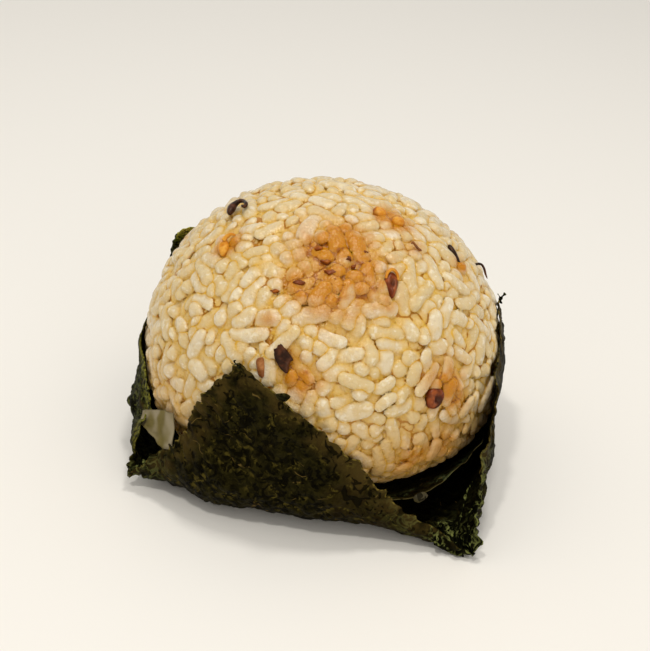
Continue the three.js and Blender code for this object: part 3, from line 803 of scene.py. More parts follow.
def other_grains():
    """The husks, seeds and strands among the rice, each with its finish."""
    black, umber, rust, amber, chestnut = (grain_finish(kind) for kind in GRAIN_TONES)

    def along(name, where, rows, finish, rough=0.0):
        """A tube along rows of sideways, upward and outward places in a seat, with a radius each."""
        place, axes = where
        rows = np.array(rows, float)
        path = np.column_stack([place + rows[:, :3] @ axes, rows[:, 3]])
        tube(name, path, rough).data.materials.append(finish)

    def outlined(name, where, outline, finish, dome, pit=0.0):
        """A bead with that outline in a seat."""
        bead(name, where, outline, dome, pit).data.materials.append(finish)

    along("curled_husk", seat(-177, 50.2, 1.0), [
        (-1.6, -1.55, 2.8, 0.42), (-1.47, -0.92, 2.0, 0.74), (-1.23, -0.15, 1.0, 0.80),
        (-0.7, 0.61, 0.3, 0.62), (0.13, 1.17, 0.0, 0.42), (0.98, 1.13, 0.8, 0.36), (1.53, 0.5, 2.4, 0.36),
        (1.3, -0.07, 3.0, 0.40), (0.63, 0.19, 2.0, 0.28)], black, rough=0.05)
    outlined("split_grain", seat(-149, 46.8, 0.2), [
        (-1.0, 0.8), (-0.3, 1.5), (0.6, 1.5), (1.0, 0.4), (1.0, -0.9), (0.2, -1.8), (-0.5, -1.9),
        (-1.05, -0.6)], amber, 0.9, 0.15)
    along("split_grain_stem", seat(-149, 46.8, 0.2), [
        (0.2, 0.9, 0.3, 0.5), (1.0, 1.6, 0.5, 0.40), (1.9, 1.8, 0.5, 0.32), (2.7, 1.5, 0.3, 0.22)], amber)
    outlined("black_seed", seat(-102.6, 35.5), [
        (-2.0, 0.9), (-0.35, 2.35), (0.5, 1.3), (1.9, -0.7), (1.3, -1.3), (0.85, -3.2), (-0.4, -2.4),
        (-1.3, -0.8)], black, 0.55, 0.2)
    outlined("short_stub", seat(-109.0, 32.7), [
        (-0.65, 1.4), (0.7, 1.6), (0.75, -1.6), (-0.15, -1.6), (-0.6, -0.2)], umber, 0.5)
    outlined("drop_husk", seat(-61.9, 46.4), [
        (0.0, 2.6), (1.0, 1.9), (1.3, 0.4), (0.9, -1.2), (0.15, -2.7), (-0.6, -1.4), (-1.3, -0.2),
        (-1.1, 1.6)], rust, 1.0, 0.55)
    along("drop_husk_lip", seat(-61.9, 46.4), [
        (-1.2, 0.9, 0.1, 0.25), (-0.9, 2.1, 0.35, 0.3), (0.0, 2.75, 0.5, 0.32), (0.9, 2.1, 0.35, 0.3),
        (1.25, 0.8, 0.1, 0.22)], amber)
    outlined("pitted_seed", seat(-52.7, 27.3), [
        (-1.3, 1.7), (0.2, 2.0), (1.7, 1.4), (2.0, 0.2), (1.3, -1.3), (0.2, -1.9), (-1.5, -1.4),
        (-1.75, 0.1)], rust, 1.0, 0.75)
    outlined("long_seed", seat(-12.7, 46.4, 0.6), [
        (-1.3, 1.9), (-0.5, 1.7), (0.35, 0.3), (0.85, -0.8), (1.1, -1.9), (0.4, -1.4), (-0.4, -0.3),
        (-1.2, 0.7)], black, 0.7)
    along("bent_sliver", seat(-37.8, 49.7), [
        (-1.1, 0.35, 0.5, 0.16), (-0.8, 0.75, 0.62, 0.22), (-0.35, 0.3, 0.6, 0.24), (0.15, -0.3, 0.6, 0.25),
        (0.6, -0.6, 0.6, 0.26), (1.05, -0.35, 0.45, 0.15)], umber)
    for k, (azimuth, z, size) in enumerate(AMBER_GRAINS):
        ring = [(size * math.cos(a) * 1.05, size * math.sin(a)) for a in np.arange(8) * math.pi / 4]
        outlined(f"amber_grain_{k + 1}", seat(azimuth, z), ring, amber, 1.15, 0.22)
    for k, (azimuth, z, size) in enumerate(SPECKS):
        ring = [(size * (1 + 0.45 * math.sin(2.7 * a + k)) * (1.7 * math.cos(a) + 0.5 * math.sin(a + k)),
                 size * (1 + 0.4 * math.cos(3.1 * a + 2 * k)) * math.sin(a)) for a in np.arange(7) * 0.9]
        outlined(f"husk_speck_{k + 1}", seat(azimuth, z), ring, chestnut, 0.22, 0.1)
    along("strand", seat(4.5, 41.2, 0.7), [
        (-1.4, -0.4, -0.6, 0.22), (-0.4, 0.15, 0.2, 0.26), (0.5, 0.1, 0.4, 0.24), (1.0, -0.5, 0.4, 0.24),
        (1.25, -1.2, 0.4, 0.23), (1.4, -1.8, 0.4, 0.2), (1.8, -2.7, 0.3, 0.09)], black)


# ---------------------------------------------------------------- folding the nori
def rim_curve(rows):
    """A smooth curve through a rim's points, with a sharp turn at the base corner, where its place is 0."""
    table = np.array(rows, float)
    x, points = table[:, 0], table[:, 1:]
    slope = np.diff(points, axis=0) / np.diff(x)[:, None]
    into, away = np.empty_like(points), np.empty_like(points)
    steps = np.diff(x)
    for i in range(len(x)):
        if i == 0 or i == len(x) - 1:
            into[i] = away[i] = slope[min(i, len(x) - 2)]
        else:
            mean = (slope[i] * steps[i - 1] + slope[i - 1] * steps[i]) / (steps[i] + steps[i - 1])
            corner = abs(x[i]) < 1e-9
            into[i] = slope[i - 1] if corner else mean
            away[i] = slope[i] if corner else mean

    def at(u):
        u = np.clip(u, x[0], x[-1])
        i = np.clip(np.searchsorted(x, u, side="right") - 1, 0, len(x) - 2)
        step = (x[i + 1] - x[i])[..., None]
        w = ((u - x[i])[..., None]) / step
        return ((2 * w**3 - 3 * w**2 + 1) * points[i] + (w**3 - 2 * w**2 + w) * step * away[i]
                + (3 * w**2 - 2 * w**3) * points[i + 1] + (w**3 - w**2) * step * into[i + 1])

    return at


left_rim, right_rim = rim_curve(RIM_LEFT), rim_curve(RIM_RIGHT)


def clear_of_ball(p, gap, soft):
    """Pushes points out to at least gap from the mean rice surface."""
    r = np.maximum(np.hypot(p[..., 0], p[..., 1]), 1e-6)
    need = ball_radius(p[..., 2], gap)
    wide = 0.5 * (r + need + np.sqrt((r - need) ** 2 + soft * soft))
    apply = (p[..., 2] >= 0.6) & (p[..., 2] <= WAIST_Z + CROWN + 1)
    scale = np.where(apply, wide / r, 1.0)
    return np.concatenate([p[..., :2] * scale[..., None], p[..., 2:]], axis=-1)


def folded(s, t):
    """The square folded up round the ball. s and t run from -1 to 1 along its sides, from the front tip."""
    front, right = -(s + t) * HALF, (s - t) * HALF
    turns = [(front, right), (right, -front), (-front, -right), (-right, front)]
    result = np.zeros(s.shape + (3,))
    done = np.zeros(s.shape, bool)
    for (p_all, q_all), flap in zip(turns, FLAPS):
        facing, foot, bend0, tall, slide, wrap, start_ear, end_ear = flap
        here = (p_all >= 0) & (np.abs(q_all) <= p_all + 1e-9) & ~done
        done |= here
        p, q = p_all[here], q_all[here]
        a = math.radians(facing)
        out, side = np.array([math.cos(a), math.sin(a)]), np.array([-math.sin(a), math.cos(a)])
        share = np.clip(np.abs(q) / HALF, 0, 1)
        u = share**1.8
        reach = np.where(p > HALF, HALF + (p - HALF) * tall, p)
        start = foot + (HALF - foot) * u
        bend = bend0 * (1 - u) + 0.8
        length = reach - start
        turn = np.clip(length / bend, 0, math.pi / 2)
        D = np.where(length < 0, reach, start + bend * np.sin(turn))
        Z = np.where(length < 0, 0, bend * (1 - np.cos(turn)) + np.clip(length - bend * math.pi / 2, 0, None))
        w = np.clip(np.abs(q) / np.maximum(p, 1e-6), 0, 1)
        ear = np.where((q > 0)[:, None], np.array(EARS[end_ear], float), np.array(EARS[start_ear], float))
        D = D * (1 + (ear[:, :2] @ out / HALF - 1) * w * w)
        T = q * np.where(q > 0, 1, -1) * (ear[:, :2] @ side) / HALF
        Z = Z + ear[:, 2] * np.clip(np.minimum(p, HALF) / HALF, 0, 1) ** 3 * share**2
        D = D + np.where(Z > WAIST_Z, np.minimum(ball_radius(Z, 0.4) - WAIST, 0), 0)
        T = T + slide * np.clip(Z / 38, 0, 1) ** 1.3
        D = D - wrap * (1 - np.cos(np.clip(T / wrap, -1.4, 1.4))) * np.clip(Z / 16, 0, 1) ** 2
        result[here] = np.concatenate([out * D[:, None] + side * T[:, None], Z[:, None]], axis=1)
    return clear_of_ball(result, 0.5, 0.8)


def sheet_middle(s, t, gap_low, gap_high):
    """Middle surface of the folded nori, steered along its two near rims."""
    one = np.ones_like(s)
    at_left = left_rim(t) - folded(-one, t)
    at_front = right_rim(s) - folded(s, -one)
    at_tip = left_rim(-one) - folded(-one, -one)
    ws, wt = hump(s, -1, RIM_REACH)[..., None], hump(t, -1, RIM_REACH)[..., None]
    p = folded(s, t) + at_left * ws + at_front * wt - at_tip * ws * wt
    for a, b, w, dx, dy, dz in SWELLS:
        p = p + (hump(s, a, w) * hump(t, b, w))[..., None] * np.array([dx, dy, dz])
    away = np.clip((p[..., 2] - 2) / 8, 0, 1)
    wave = 0.35 * np.sin(7.1 * s + 3.3 * t + 0.6) * np.cos(5.3 * t - 2.2 * s) * away
    r = np.maximum(np.hypot(p[..., 0], p[..., 1]), 1e-6)
    p = np.concatenate([p[..., :2] * (1 + wave / r)[..., None], np.maximum(p[..., 2:], 0)], axis=-1)
    high = np.clip((p[..., 2] - 11) / 4, 0, 1)[..., None]
    return clear_of_ball(p, gap_low, 0.4) * (1 - high) + clear_of_ball(p, gap_high, 0.4) * high


def leaf(name, middle, keep, thick, marks, closed=False):
    """A closed leaf over a grid of middle points, leaving out the cells where keep is false."""
    nu, nv = middle.shape[:2]
    roll = np.roll(middle, -1, 0) - np.roll(middle, 1, 0) if closed else np.gradient(middle, axis=0)
    normal = unit(np.cross(roll, np.gradient(middle, axis=1)))
    top = middle + normal * thick / 2
    bottom = middle - normal * thick / 2
    index = np.arange(nu * nv).reshape(nu, nv)
    cells_u = nu if closed else nu - 1
    i = np.arange(cells_u)[:, None]
    j = np.arange(nv - 1)[None]
    corner = [index[i, j], index[(i + 1) % nu, j], index[(i + 1) % nu, j + 1], index[i, j + 1]]
    a, b, c, d = (x[keep] for x in corner)
    count = nu * nv
    faces = [np.stack([a, b, c, d], 1), np.stack([a, d, c, b], 1) + count]
    padded = np.zeros((cells_u + 2, nv + 1), bool)
    padded[1:-1, 1:-1] = keep
    if closed:
        padded[0], padded[-1] = padded[-2], padded[1]
    for shift, (m, n) in (((-1, 0), (3, 0)), ((1, 0), (1, 2)), ((0, -1), (0, 1)), ((0, 1), (2, 3))):
        beyond = padded[1 + shift[0]:cells_u + 1 + shift[0], 1 + shift[1]:nv + shift[1]]
        rim = keep & ~beyond
        p, q = corner[m][rim], corner[n][rim]
        faces.append(np.stack([q, p, p + count, q + count], 1))
    faces = np.concatenate(faces)
    used = np.zeros(2 * count, bool)
    used[faces.ravel()] = True
    renumber = np.cumsum(used) - 1
    points = np.concatenate([top.reshape(-1, 3), bottom.reshape(-1, 3)])[used]
    points[:, 2] = np.maximum(points[:, 2], 0.0)
    both = {key: np.concatenate([value.ravel(), value.ravel()])[used] for key, value in marks.items()}
    both["inside"] = np.concatenate([np.ones(count), np.zeros(count)])[used]
    return new_piece(name, points, renumber[faces], both)


EDGE = SHEET_SIDE / 2
SHEET_CELLS = 220
SHEET_THICK = 0.22
# Torn places of the near rims: which rim, place along it, width along it, how far it reaches out.
TEARS = [
    ("front", -0.66, 0.030, 0.7), ("front", -0.50, 0.022, 1.1), ("front", -0.36, 0.016, 0.9),
    ("left", -0.80, 0.022, 1.3), ("left", -0.68, 0.014, 1.4), ("left", -0.55, 0.020, 1.1),
    ("front", 0.62, 0.016, 1.0), ("left", 0.905, 0.010, -1.1), ("left", 0.945, 0.014, 0.9),
]


def torn(run, across, which):
    """How far a rim is drawn in, in millimetres: worn teeth, and the torn tabs of the near rims."""
    line = np.stack([run * EDGE, np.sign(across) * 40 + 7, 0 * run], axis=-1)
    wear = 0.7 * field(line, 5.5, 75) + 0.9 * np.abs(field(line, 2.1, 71)) + 0.5 * field(line, 0.95, 73) - 0.4
    for rim, at, wide, reach in TEARS:
        if rim == which:
            wear = wear - (across < 0) * reach * hump(run, at, wide)
    return np.clip(wear, -2.6, 1.4) / EDGE * smooth(0.93, 1.0, np.abs(across))


def nori_sheet():
    """The outer sheet: the folded square with its worn rims, its wrinkles and its crumpled corners."""
    line = np.linspace(-1, 1, SHEET_CELLS + 1)
    s, t = np.meshgrid(line, line, indexing="ij")
    flat = np.stack([s * EDGE, t * EDGE, 0 * s], axis=-1)
    worn_s = s - np.sign(s) * torn(t, s, "left")
    worn_t = t - np.sign(t) * torn(s, t, "front")
    p = sheet_middle(worn_s, worn_t, gap_low=1.5, gap_high=0.3) + [0, 0, 0.14]
    normal = unit(np.cross(np.gradient(p, axis=0), np.gradient(p, axis=1)))
    corner_right = hump(s, 0.08, 0.24) * hump(t, -1, 0.14)
    corner_left = hump(s, -1, 0.10) * hump(t, 0, 0.13)
    lie = smooth(0.0, 3.0, p[..., 2])
    creases = 1 - 2.4 * np.abs(field(flat, 2.6, 81) + 0.3 * field(flat, 1.2, 90))
    relief = 0.20 * creases + 0.22 * field(flat, 1.6, 82) + 0.12 * field(flat, 0.8, 83)
    folds = 1.1 * field(flat, 2.4, 84) + 0.6 * (1 - 2 * np.abs(field(flat, 1.6, 85)))
    rough = relief * (0.5 + 0.5 * lie) + 0.28 * field(flat, 9, 80) * lie
    rough = rough + np.maximum(corner_right, corner_left) * folds
    p = clear_of_ball(p + normal * rough[..., None], 0.32, 0.2)
    rim = EDGE * (1 - np.maximum(np.abs(s), np.abs(t)))
    # left: where the left flap takes its netted colour, brightened as painted light, fading along part of the
    # flap and coming back at the tab
    gap_in_tint = 0.6 * smooth(0.45, 0.60, t) * smooth(0.86, 0.78, t)
    left = smooth(0.0, 0.25, t) * smooth(-0.2, -0.5, s) * (1 - gap_in_tint)
    marks = nori_marks(rim, relief, field(flat, 2.4, 86), left, np.maximum(corner_right, 0.5 * corner_left))
    return leaf("nori_leaf", p, np.ones((SHEET_CELLS, SHEET_CELLS), bool), SHEET_THICK, marks)


FILM_TOP = [(-33.9, -15.2, 11.6), (-32.2, -17.0, 13.2), (-29.1, -22.2, 16.4), (-26.5, -25.6, 18.0)]
FILM_FOOT = [(-33.5, -18.4, 10.8), (-31.4, -21.3, 10.6), (-28.8, -25.0, 10.0), (-26.0, -27.0, 10.4)]


def between_lines(top, foot, along, down):
    """A grid of points from a top line down to a foot line."""
    top, foot = follow(top, along), follow(foot, along)
    w = np.linspace(0, 1, down)[None, :, None]
    return top[:, None] * (1 - w) + foot[:, None] * w


def nori_film():
    """The thin, pale scrap that bridges the front left corner."""
    along, down = 34, 22
    p = between_lines(FILM_TOP, FILM_FOOT, along, down)
    sag = 0.5 * field(p, 3.0, 97) + 0.2 * field(p, 1.2, 98) + 0.3
    p = p + np.array([-0.6, -0.8, 0.0]) * sag[..., None]
    w = np.linspace(0, 1, down)[None]
    from_end = (along - 1 - np.arange(along))[:, None] * 0.3
    rim = np.minimum(np.minimum(w * 8, (1 - w) * 8), from_end)
    marks = nori_marks(rim, 0.1, field(p, 2.2, 95), film=1.0)
    return leaf("nori_film", p, np.ones((along - 1, down - 1), bool), 0.12, marks)


# A crumpled fold inside the front right corner, a dry fleck on the rim of the inner layer, and a torn tab:
# top line, foot line, how crumpled, how pale, how rough.
SCRAPS = {
    "corner_crumple": (
        [(23.4, -35.6, 4.0), (25.2, -35.2, 5.0), (27.2, -35.6, 4.4), (28.6, -37.0, 3.2)],
        [(23.6, -37.4, 1.8), (25.6, -37.8, 1.2), (27.4, -38.4, 0.8), (29.4, -38.6, 0.6)], 1.0, 0.0, 1.6),
    "dry_fleck": (
        [(18.9, -36.1, 10.9), (19.7, -35.5, 11.5), (20.8, -35.3, 11.8), (21.6, -35.5, 11.3)],
        [(19.2, -36.3, 10.2), (19.9, -36.4, 10.1), (20.4, -36.2, 10.2), (21.4, -35.7, 10.9)], 0.0, 0.14, 0.2),
    "torn_tab": (
        [(-7.8, -36.6, 30.1), (-6.8, -37.0, 30.8), (-5.9, -37.3, 31.1), (-4.9, -37.5, 30.6)],
        [(-7.2, -36.7, 29.1), (-6.5, -37.0, 29.0), (-5.6, -37.3, 29.5), (-5.0, -37.5, 30.2)], 0.15, 0.0, 0.5),
}


def scrap(name, top, foot, crumple, film, rough):
    """A small torn piece of nori between a top line and a foot line."""
    along, down = 40, 30
    p = between_lines(top, foot, along, down)
    normal = unit(np.cross(np.gradient(p, axis=0), np.gradient(p, axis=1)))
    p = p + normal * (rough * (0.6 * field(p, 1.5, 99) + 0.5 * (0.5 - np.abs(field(p, 0.9, 100)))))[..., None]
    p[..., 2] = np.maximum(p[..., 2], 0.2)
    marks = nori_marks(1.0, 0.25 * field(p, 0.9, 99), np.zeros((along, down)), crumple=crumple, film=film)
    return leaf(name, p, np.ones((along - 1, down - 1), bool), 0.16, marks)


# Crumpled corner folds and curled tips, each a line of (x, y, z, radius) rows.
CORNER_FOLDS = {
    "corner_roll": [
        (24.0, -35.4, 5.2, 0.3), (25.5, -35.0, 5.3, 0.5), (26.9, -35.1, 5.1, 0.55), (27.0, -36.0, 3.3, 0.5),
        (27.6, -37.0, 1.9, 0.6), (28.3, -37.8, 1.1, 0.5)],
    "corner_strand": [
        (26.6, -35.2, 5.0, 0.3), (25.4, -35.9, 4.0, 0.4), (24.3, -36.4, 3.0, 0.45), (23.4, -36.6, 2.2, 0.4)],
    "corner_ridge": [
        (28.3, -37.6, 1.1, 0.5), (27.8, -37.0, 2.9, 0.5), (27.9, -36.0, 5.4, 0.45), (28.3, -34.3, 7.2, 0.4),
        (29.0, -31.0, 9.2, 0.35), (30.2, -28.4, 10.6, 0.35)],
    "corner_scrap": [
        (29.4, -36.6, 2.2, 0.4), (29.8, -36.2, 4.4, 0.5), (29.6, -35.2, 6.4, 0.45), (30.1, -34.2, 8.4, 0.3)],
    "left_roll": [
        (-33.6, -24.9, 4.6, 0.4), (-33.0, -24.6, 5.6, 0.55), (-31.9, -25.0, 5.8, 0.5),
        (-31.2, -25.8, 5.0, 0.35)],
    "right_tip": [(34.4, 2.0, 33.6, 0.45), (34.4, 2.0, 34.6, 0.42), (35.1, 2.0, 35.8, 0.3)],
    "right_tip_prong": [(34.4, 2.0, 34.6, 0.4), (33.6, 2.0, 35.5, 0.28)],
    "apex_curl": [
        (-14.3, -33.2, 33.0, 0.35), (-15.0, -33.2, 33.6, 0.3), (-15.5, -33.2, 34.2, 0.26),
        (-15.1, -33.4, 34.6, 0.16)],
    "apex_curl_prong": [
        (-15.1, -33.3, 33.6, 0.26), (-15.7, -33.3, 33.7, 0.22), (-16.1, -33.3, 34.0, 0.14)],
}


def liner_table(azimuth):
    """Height, flare and belly of the inner layer's rim at an azimuth."""
    table = np.array(LINER_RIM, float)
    table = np.concatenate([table[-1:] - [360, 0, 0, 0], table, table[:1] + [360, 0, 0, 0]])
    az = (azimuth + 180) % 360 - 180
    i = np.clip(np.searchsorted(table[:, 0], az, side="right") - 1, 0, len(table) - 2)
    w = (az - table[i, 0]) / (table[i + 1, 0] - table[i, 0])
    u = (w * w * (3 - 2 * w))[..., None]
    return np.moveaxis(table[i, 1:] * (1 - u) + table[i + 1, 1:] * u, -1, 0)


def nori_liner():
    """The second layer of nori: a low bowl under the ball, open at its hidden middle."""
    around, rings = 300, 46
    azimuth = np.arange(around) * 360 / around
    az, w = np.meshgrid(azimuth, np.linspace(0.45, 1, rings + 1), indexing="ij")
    top, flare, belly = liner_table(az)
    strip = np.stack([az / 3, 0 * az, 0 * az], -1)
    top = top + (0.5 * field(strip, 2.2, 91) + 0.3 * field(strip, 0.9, 92)) * smooth(0.8, 1.0, w)
    r, z, nr, nz = profile(-90 + (angle_at_height(top) + 90) * w**0.8)
    a = np.radians(az)
    off = 0.42 + 0.45 * np.clip((z - 4.5) / 4.5, 0, 1) + flare * w**4 + belly * hump(w, 0.84, 0.13)
    off = off + 0.25 * field(np.stack([r * np.cos(a), r * np.sin(a), z], -1), 3.0, 93) * w
    r, z = r + nr * off, z + nz * off
    p = np.stack([r * np.cos(a), r * np.sin(a), z], axis=-1)
    marks = nori_marks((1 - w) * 40, 0.2 * field(p, 1.8, 94), field(p, 2.2, 95))
    keep = np.ones((around, rings), bool)
    return leaf("nori_inner_leaf", p, keep, 0.16, marks, closed=True)


# ---------------------------------------------------------------- finishes
def softened(f):
    """The surface's own direction, turned a little towards that of the whole ball."""
    out = f.add("ShaderNodeVectorMath", {"operation": "SUBTRACT"}, {0: f.place(), 1: (0, 0, WAIST_Z * MM)})
    out = f.add("ShaderNodeVectorMath", {"operation": "NORMALIZE"}, {0: out})
    out = f.add("ShaderNodeVectorTransform", {"vector_type": "NORMAL"}, {0: out})
    soft = f.add("ShaderNodeVectorMath", {"operation": "MULTIPLY_ADD"}, {
        0: out, 1: (0.4, 0.4, 0.4), 2: f.add("ShaderNodeNewGeometry", out=1)})
    return f.add("ShaderNodeVectorMath", {"operation": "NORMALIZE"}, {0: soft})


def rice_finish():
    """Moist rice: cream grains, golden seams, soaked patches, and light that spreads inside."""
    f = Finish("moist_rice")
    crease, height = f.mark("crease"), f.mark("height")
    soy, shade = f.mark("soy"), f.mark("shade")
    cloudy = f.lumps(1.2, 3.0, 0.55)
    low = f.up().between(0.030, 0.012)
    cream = f.blend(shade.between(0.1, 0.95), tone(217, 201, 170), tone(208, 186, 141))
    cream = f.blend((cloudy.between(0.42, 0.62) * 0.6).clip(), cream, tone(209, 182, 128))
    cream = f.blend((f.lumps(0.7, 2.0, 0.6).between(0.55, 0.68) * 0.45).clip(), cream, tone(238, 232, 215))
    halo = crease.between(1.1, 0.0)
    cream = f.blend((halo * 0.62).clip(), cream, tone(208, 168, 80))
    seam = crease.between(0.26, 0.04)
    broken = f.lumps(2.4, 2.0).between(0.40, 0.60) * 0.7 + 0.2
    deep = height.between(-0.60, -1.5)
    colour = f.blend((seam * broken).clip(), cream, tone(212, 164, 46))
    colour = f.blend((deep * 0.6).clip(), colour, tone(218, 174, 70))
    nook = f.lumps(2.0, 2.0).between(0.54, 0.60) * height.between(-0.50, -1.0)
    colour = f.blend((crease.between(0.45, 0.1) * nook).clip(), colour, tone(172, 112, 14))
    # darker, warmer colour towards the foot, below 30 mm: partly soy soaked into the base, partly painted
    # shade and painted warm light thrown up from below
    colour = f.blend((low * 0.62).clip(), colour, tone(190, 142, 60))
    patch = f.lumps(2.6, 3.0, 0.6)
    soaked_in = (soy * (0.7 + patch * 1.2)).clip()
    colour = f.blend(soaked_in, colour, tone(188, 122, 0))
    bits = f.lumps(1.3, 3.0, 0.6).between(0.57, 0.64)
    between_grains = crease.between(0.9, 0.2) * 0.8 + deep + 0.1
    rust = (soaked_in.between(0.5, 0.95) * (seam * 0.5 + bits * 1.2) * between_grains).clip()
    colour = f.blend((rust * 0.7).clip(), colour, tone(140, 66, 6))
    bump = f.bump(f.lumps(0.6, 3.0, 0.65), 0.30, 1.0, under=softened(f))
    bump = f.bump(cloudy, 0.32, 0.8, under=bump)
    gloss = 0.05 + cloudy * 0.28 + soaked_in * 0.10
    return f.surface(
        Base_Color=colour, Roughness=gloss, Normal=bump, Subsurface_Weight=0.65,
        Subsurface_Radius=(1.0, 0.98, 0.70), Subsurface_Scale=0.0015, IOR=1.42, Specular_IOR_Level=0.68,
        Specular_Tint=(1.0, 0.94, 0.74, 1.0),
    )


# The other grains' main, light and dark colours.
GRAIN_TONES = {
    "black": ((34, 13, 6), (84, 44, 24), (12, 5, 2)),
    "umber": ((128, 74, 34), (168, 112, 62), (52, 22, 8)),
    "rust": ((98, 38, 16), (150, 76, 34), (44, 14, 6)),
    "amber": ((196, 122, 26), (220, 160, 62), (128, 56, 12)),
    "chestnut": ((116, 50, 8), (158, 86, 20), (70, 24, 4)),
}


def grain_finish(kind):
    """A dry husk or seed in one of the grain tones."""
    f = Finish(f"{kind}_grain")
    main, light, dark = (tone(*c) for c in GRAIN_TONES[kind])
    lumps = f.lumps(0.9, 3.0, 0.6)
    colour = f.blend(lumps.between(0.42, 0.68), main, light)
    colour = f.blend((f.lumps(1.7, 2.0).between(0.5, 0.7) * 0.8).clip(), colour, dark)
    if kind == "rust":
        colour = f.blend((f.mark("end").between(0.45, 0.9) * 0.7).clip(), colour, dark)
    bump = f.bump(f.lumps(0.5, 3.0), 0.08, 0.8)
    return f.surface(Base_Color=colour, Roughness=0.30, Normal=bump, Specular_IOR_Level=0.25,
                     Specular_Tint=(1.0, 0.80, 0.60, 1.0))


def nori_finish(name, inner=False):
    """Toasted nori: black-green blots and worn rims, with painted light: highlights on the relief, rims, left
    flap and tab, shade on the inner face, light and shade on the crumples; the inner layer is greener, with
    painted reflections, and has the film.
    """
    f = Finish(name)
    rim, relief, thin, inside = f.mark("rim"), f.mark("relief"), f.mark("thin"), f.mark("inside")
    crumple, film, left = f.mark("crumple"), f.mark("film"), f.mark("left")
    blots = f.lumps(1.3, 4.0, 0.6, 0.8)
    wide = f.lumps(7.0, 3.0, 0.55)
    fine = f.lumps(0.4, 3.0, 0.65)
    veins = (f.lumps(1.5, 2.0, 0.6, 0.8) - 0.5).size().between(0.070, 0.010)
    fibres = (f.lumps(1.9, 0.5) - 0.5).size().between(0.02, 0.004) * f.lumps(1.6, 1.0).between(0.61, 0.66)
    gash = f.lumps(1.2, 1.0, 0.5, 1.8).between(0.60, 0.64)
    black, green, olive, brown = tone(3, 2, 0), tone(34, 30, 8), tone(78, 68, 24), tone(46, 33, 10)
    grit = f.lumps(0.6, 3.0, 0.7, 0.5)
    colour = f.blend((blots.between(0.42, 0.58) * 0.45 + grit.between(0.45, 0.58) * 0.6).clip(), black, green)
    colour = f.blend((wide.between(0.52, 0.70) * 0.35).clip(), colour, brown)
    # olive where the relief stands high: painted highlight on the crests of the wrinkles
    colour = f.blend((relief.between(0.06, 0.30) * grit.between(0.46, 0.60) * 0.8).clip(), colour, olive)
    # the face marked inside is darkened almost to black: painted shade inside the pocket
    colour = f.blend((inside * 0.6).clip(), colour, tone(4, 3, 1))
    if inner:
        # greenish flecks near the inner layer's rim: painted reflection
        painted_reflection_spots = thin.between(0.05, 0.30) * grit.between(0.44, 0.54) * rim.between(9, 4)
        colour = f.blend((painted_reflection_spots * 0.9).clip(), colour, tone(72, 84, 54))
        misty = f.blend(f.lumps(2.6, 1.0).between(0.40, 0.60), tone(150, 138, 112), tone(112, 100, 58))
        colour = f.blend((film * 0.93).clip(), colour, misty)
        # a paler tan line along the inner layer's cut edge: painted highlight on the rim
        colour = f.blend((rim.between(0.35, 0.0) * 0.6).clip(), colour, tone(84, 74, 42))
    else:
        worn = rim.between(6.5, 0.5) * f.lumps(2.0, 3.0).between(0.36, 0.58) * (1 - inside)
        colour = f.blend((worn * 0.6).clip(), colour, tone(78, 62, 27))
        # pale tan flecks along the last half millimetre of the rim: painted rim highlight and painted
        # backlight through the thin edge
        painted_rim_light = rim.between(0.5, 0.0) * fine.between(0.5, 0.6) * 0.8
        colour = f.blend(painted_rim_light.clip(), colour, tone(126, 108, 46))
    # the left flap's netted olive pattern, brightened as painted light on the flap's lit outer face
    net_and_painted_light = f.blend((veins * 0.3 + grit.between(0.46, 0.62) * 0.6).clip(), tone(14, 16, 6), tone(90, 93, 46))
    colour = f.blend((left * blots.between(0.36, 0.46) * 0.9).clip(), colour, net_and_painted_light)
    # brighter, greener colour on the tab above 34 mm: painted highlight
    tall = f.up().between(0.034, 0.038)
    colour = f.blend((left * tall * blots.between(0.44, 0.58) * 0.55).clip(), colour, tone(104, 118, 30))
    # yellow-green flecks along the tab's rim: painted highlight
    tip = left * rim.between(3.5, 0.6) * fine.between(0.40, 0.56) * (0.3 + tall * 0.7)
    colour = f.blend(tip.clip(), colour, tone(188, 184, 70))
    # veins lit olive over black hollows on the crumples: real veined texture with painted light and shade
    crumple_veins_and_light = f.blend(veins, tone(6, 7, 2), tone(104, 108, 58))
    colour = f.blend((crumple * 1.2).clip(), colour, crumple_veins_and_light)
    patch = (1 - film) * (1 - crumple)
    colour = f.blend((fibres * patch * 0.6).clip(), colour, tone(118, 96, 48))
    colour = f.blend((gash * patch * 0.85).clip(), colour, tone(2, 1, 0))
    height = blots * 0.6 + grit * 0.35 - gash * 0.8 + fibres * 0.3 + veins * (crumple + left * 0.4)
    bump = f.bump(height * (1 - film * 0.9), 0.65, 1.0)
    bump = f.bump(fine, 0.08, 0.7, under=bump)
    return f.surface(Base_Color=colour, Roughness=0.42 + fine * 0.3, Normal=bump, Specular_IOR_Level=0.04,
                     Specular_Tint=(1.0, 0.90, 0.40, 1.0))


# ---------------------------------------------------------------- camera, floor and light
def stand_camera():
    """The camera: above the front, a little tilted."""
    elevation, roll, distance = math.radians(27), math.radians(5.2), 283.0
    target = Vector((0, 0, 26))
    # the focal length and the picture's longer side, both in pixels
    focal_length, picture_side = 1411, 651
    back = Vector((0, -math.cos(elevation), math.sin(elevation)))
    level, upright = Vector((1, 0, 0)), Vector((0, math.sin(elevation), math.cos(elevation)))
    right = level * math.cos(roll) + upright * math.sin(roll)
    up = upright * math.cos(roll) - level * math.sin(roll)
    data = bpy.data.cameras.new("camera")
    data.sensor_width = 36.0
    data.lens = focal_length / picture_side * data.sensor_width
    data.clip_start, data.clip_end = 0.01, 20
    camera = bpy.data.objects.new("camera", data)
    bpy.context.scene.collection.objects.link(camera)
    turn = Matrix((right, up, back)).transposed().to_4x4()
    camera.matrix_world = Matrix.Translation((target + back * distance) * MM) @ turn
    bpy.context.scene.camera = camera


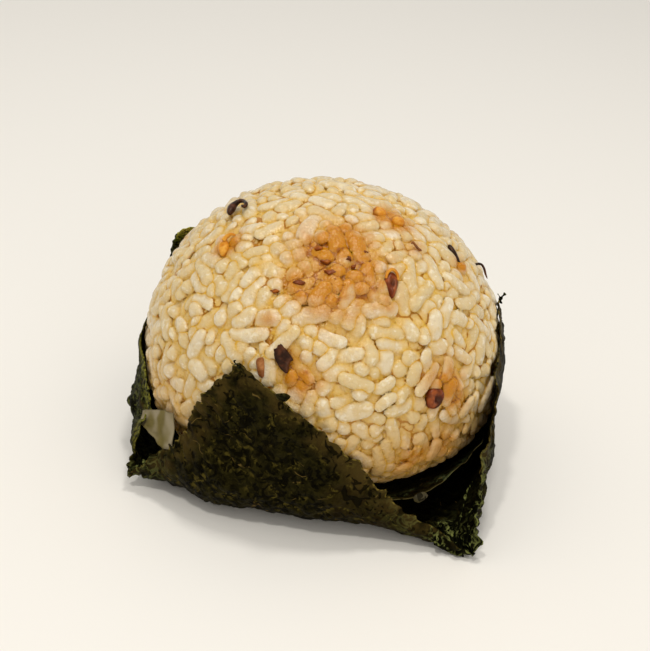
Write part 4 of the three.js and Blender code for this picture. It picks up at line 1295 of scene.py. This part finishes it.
def softbox(name, place, aim, size, power, colour):
    """A round lamp that faces its aim."""
    data = bpy.data.lights.new(name, "AREA")
    data.shape, data.size, data.energy, data.color = "DISK", size, power, colour
    lamp = bpy.data.objects.new(name, data)
    bpy.context.scene.collection.objects.link(lamp)
    lamp.location = place
    lamp.rotation_euler = (Vector(aim) - Vector(place)).to_track_quat("-Z", "Y").to_euler()


def set_stage():
    """The pale floor, the sky and three lamps."""
    mesh = bpy.data.meshes.new("floor")
    mesh.from_pydata([(-4, -4, 0), (4, -4, 0), (4, 4, 0), (-4, 4, 0)], [], [(0, 1, 2, 3)])
    floor = bpy.data.objects.new("floor", mesh)
    bpy.context.scene.collection.objects.link(floor)
    f = Finish("pale_floor")
    floor.data.materials.append(f.surface(Base_Color=tone(236, 232, 224), Roughness=0.7))
    world = bpy.data.worlds.new("studio")
    bpy.context.scene.world = world
    world.use_nodes = True
    sky = world.node_tree.nodes["Background"]
    sky.inputs["Color"].default_value = (1.0, 0.985, 0.96, 1)
    sky.inputs["Strength"].default_value = 0.64
    centre = (0, 0, 0.025)
    softbox("top_softbox", (0.03, 0.06, 0.66), centre, 0.10, 1.15, (1.0, 0.985, 0.96))
    softbox("sparkle", (-0.12, -0.26, 0.58), centre, 0.05, 0.95, (1.0, 0.98, 0.95))
    softbox("front_fill", (0.30, -0.75, 0.30), centre, 0.6, 1.2, (1.0, 0.95, 0.88))
    scene = bpy.context.scene
    scene.view_settings.view_transform = "Standard"
    scene.view_settings.look = "None"


# ---------------------------------------------------------------- making it
stand_camera()
set_stage()
rice = pack_rice()
heap = rice_heap(rice)
heap.data.materials.append(rice_finish())
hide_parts("rice_ball")
other_grains()
sheet = nori_sheet()
outer_nori = nori_finish("toasted_nori")
sheet.data.materials.append(outer_nori)
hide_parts("nori_sheet")
liner = nori_liner()
inner_nori = nori_finish("inner_nori", inner=True)
liner.data.materials.append(inner_nori)
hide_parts("nori_liner")
nori_film().data.materials.append(inner_nori)
for name, row in SCRAPS.items():
    scrap(name, *row).data.materials.append(outer_nori if row[2] else inner_nori)
for name, rows in CORNER_FOLDS.items():
    tube(name, rows, rough=0.3, flat=0.5).data.materials.append(outer_nori)
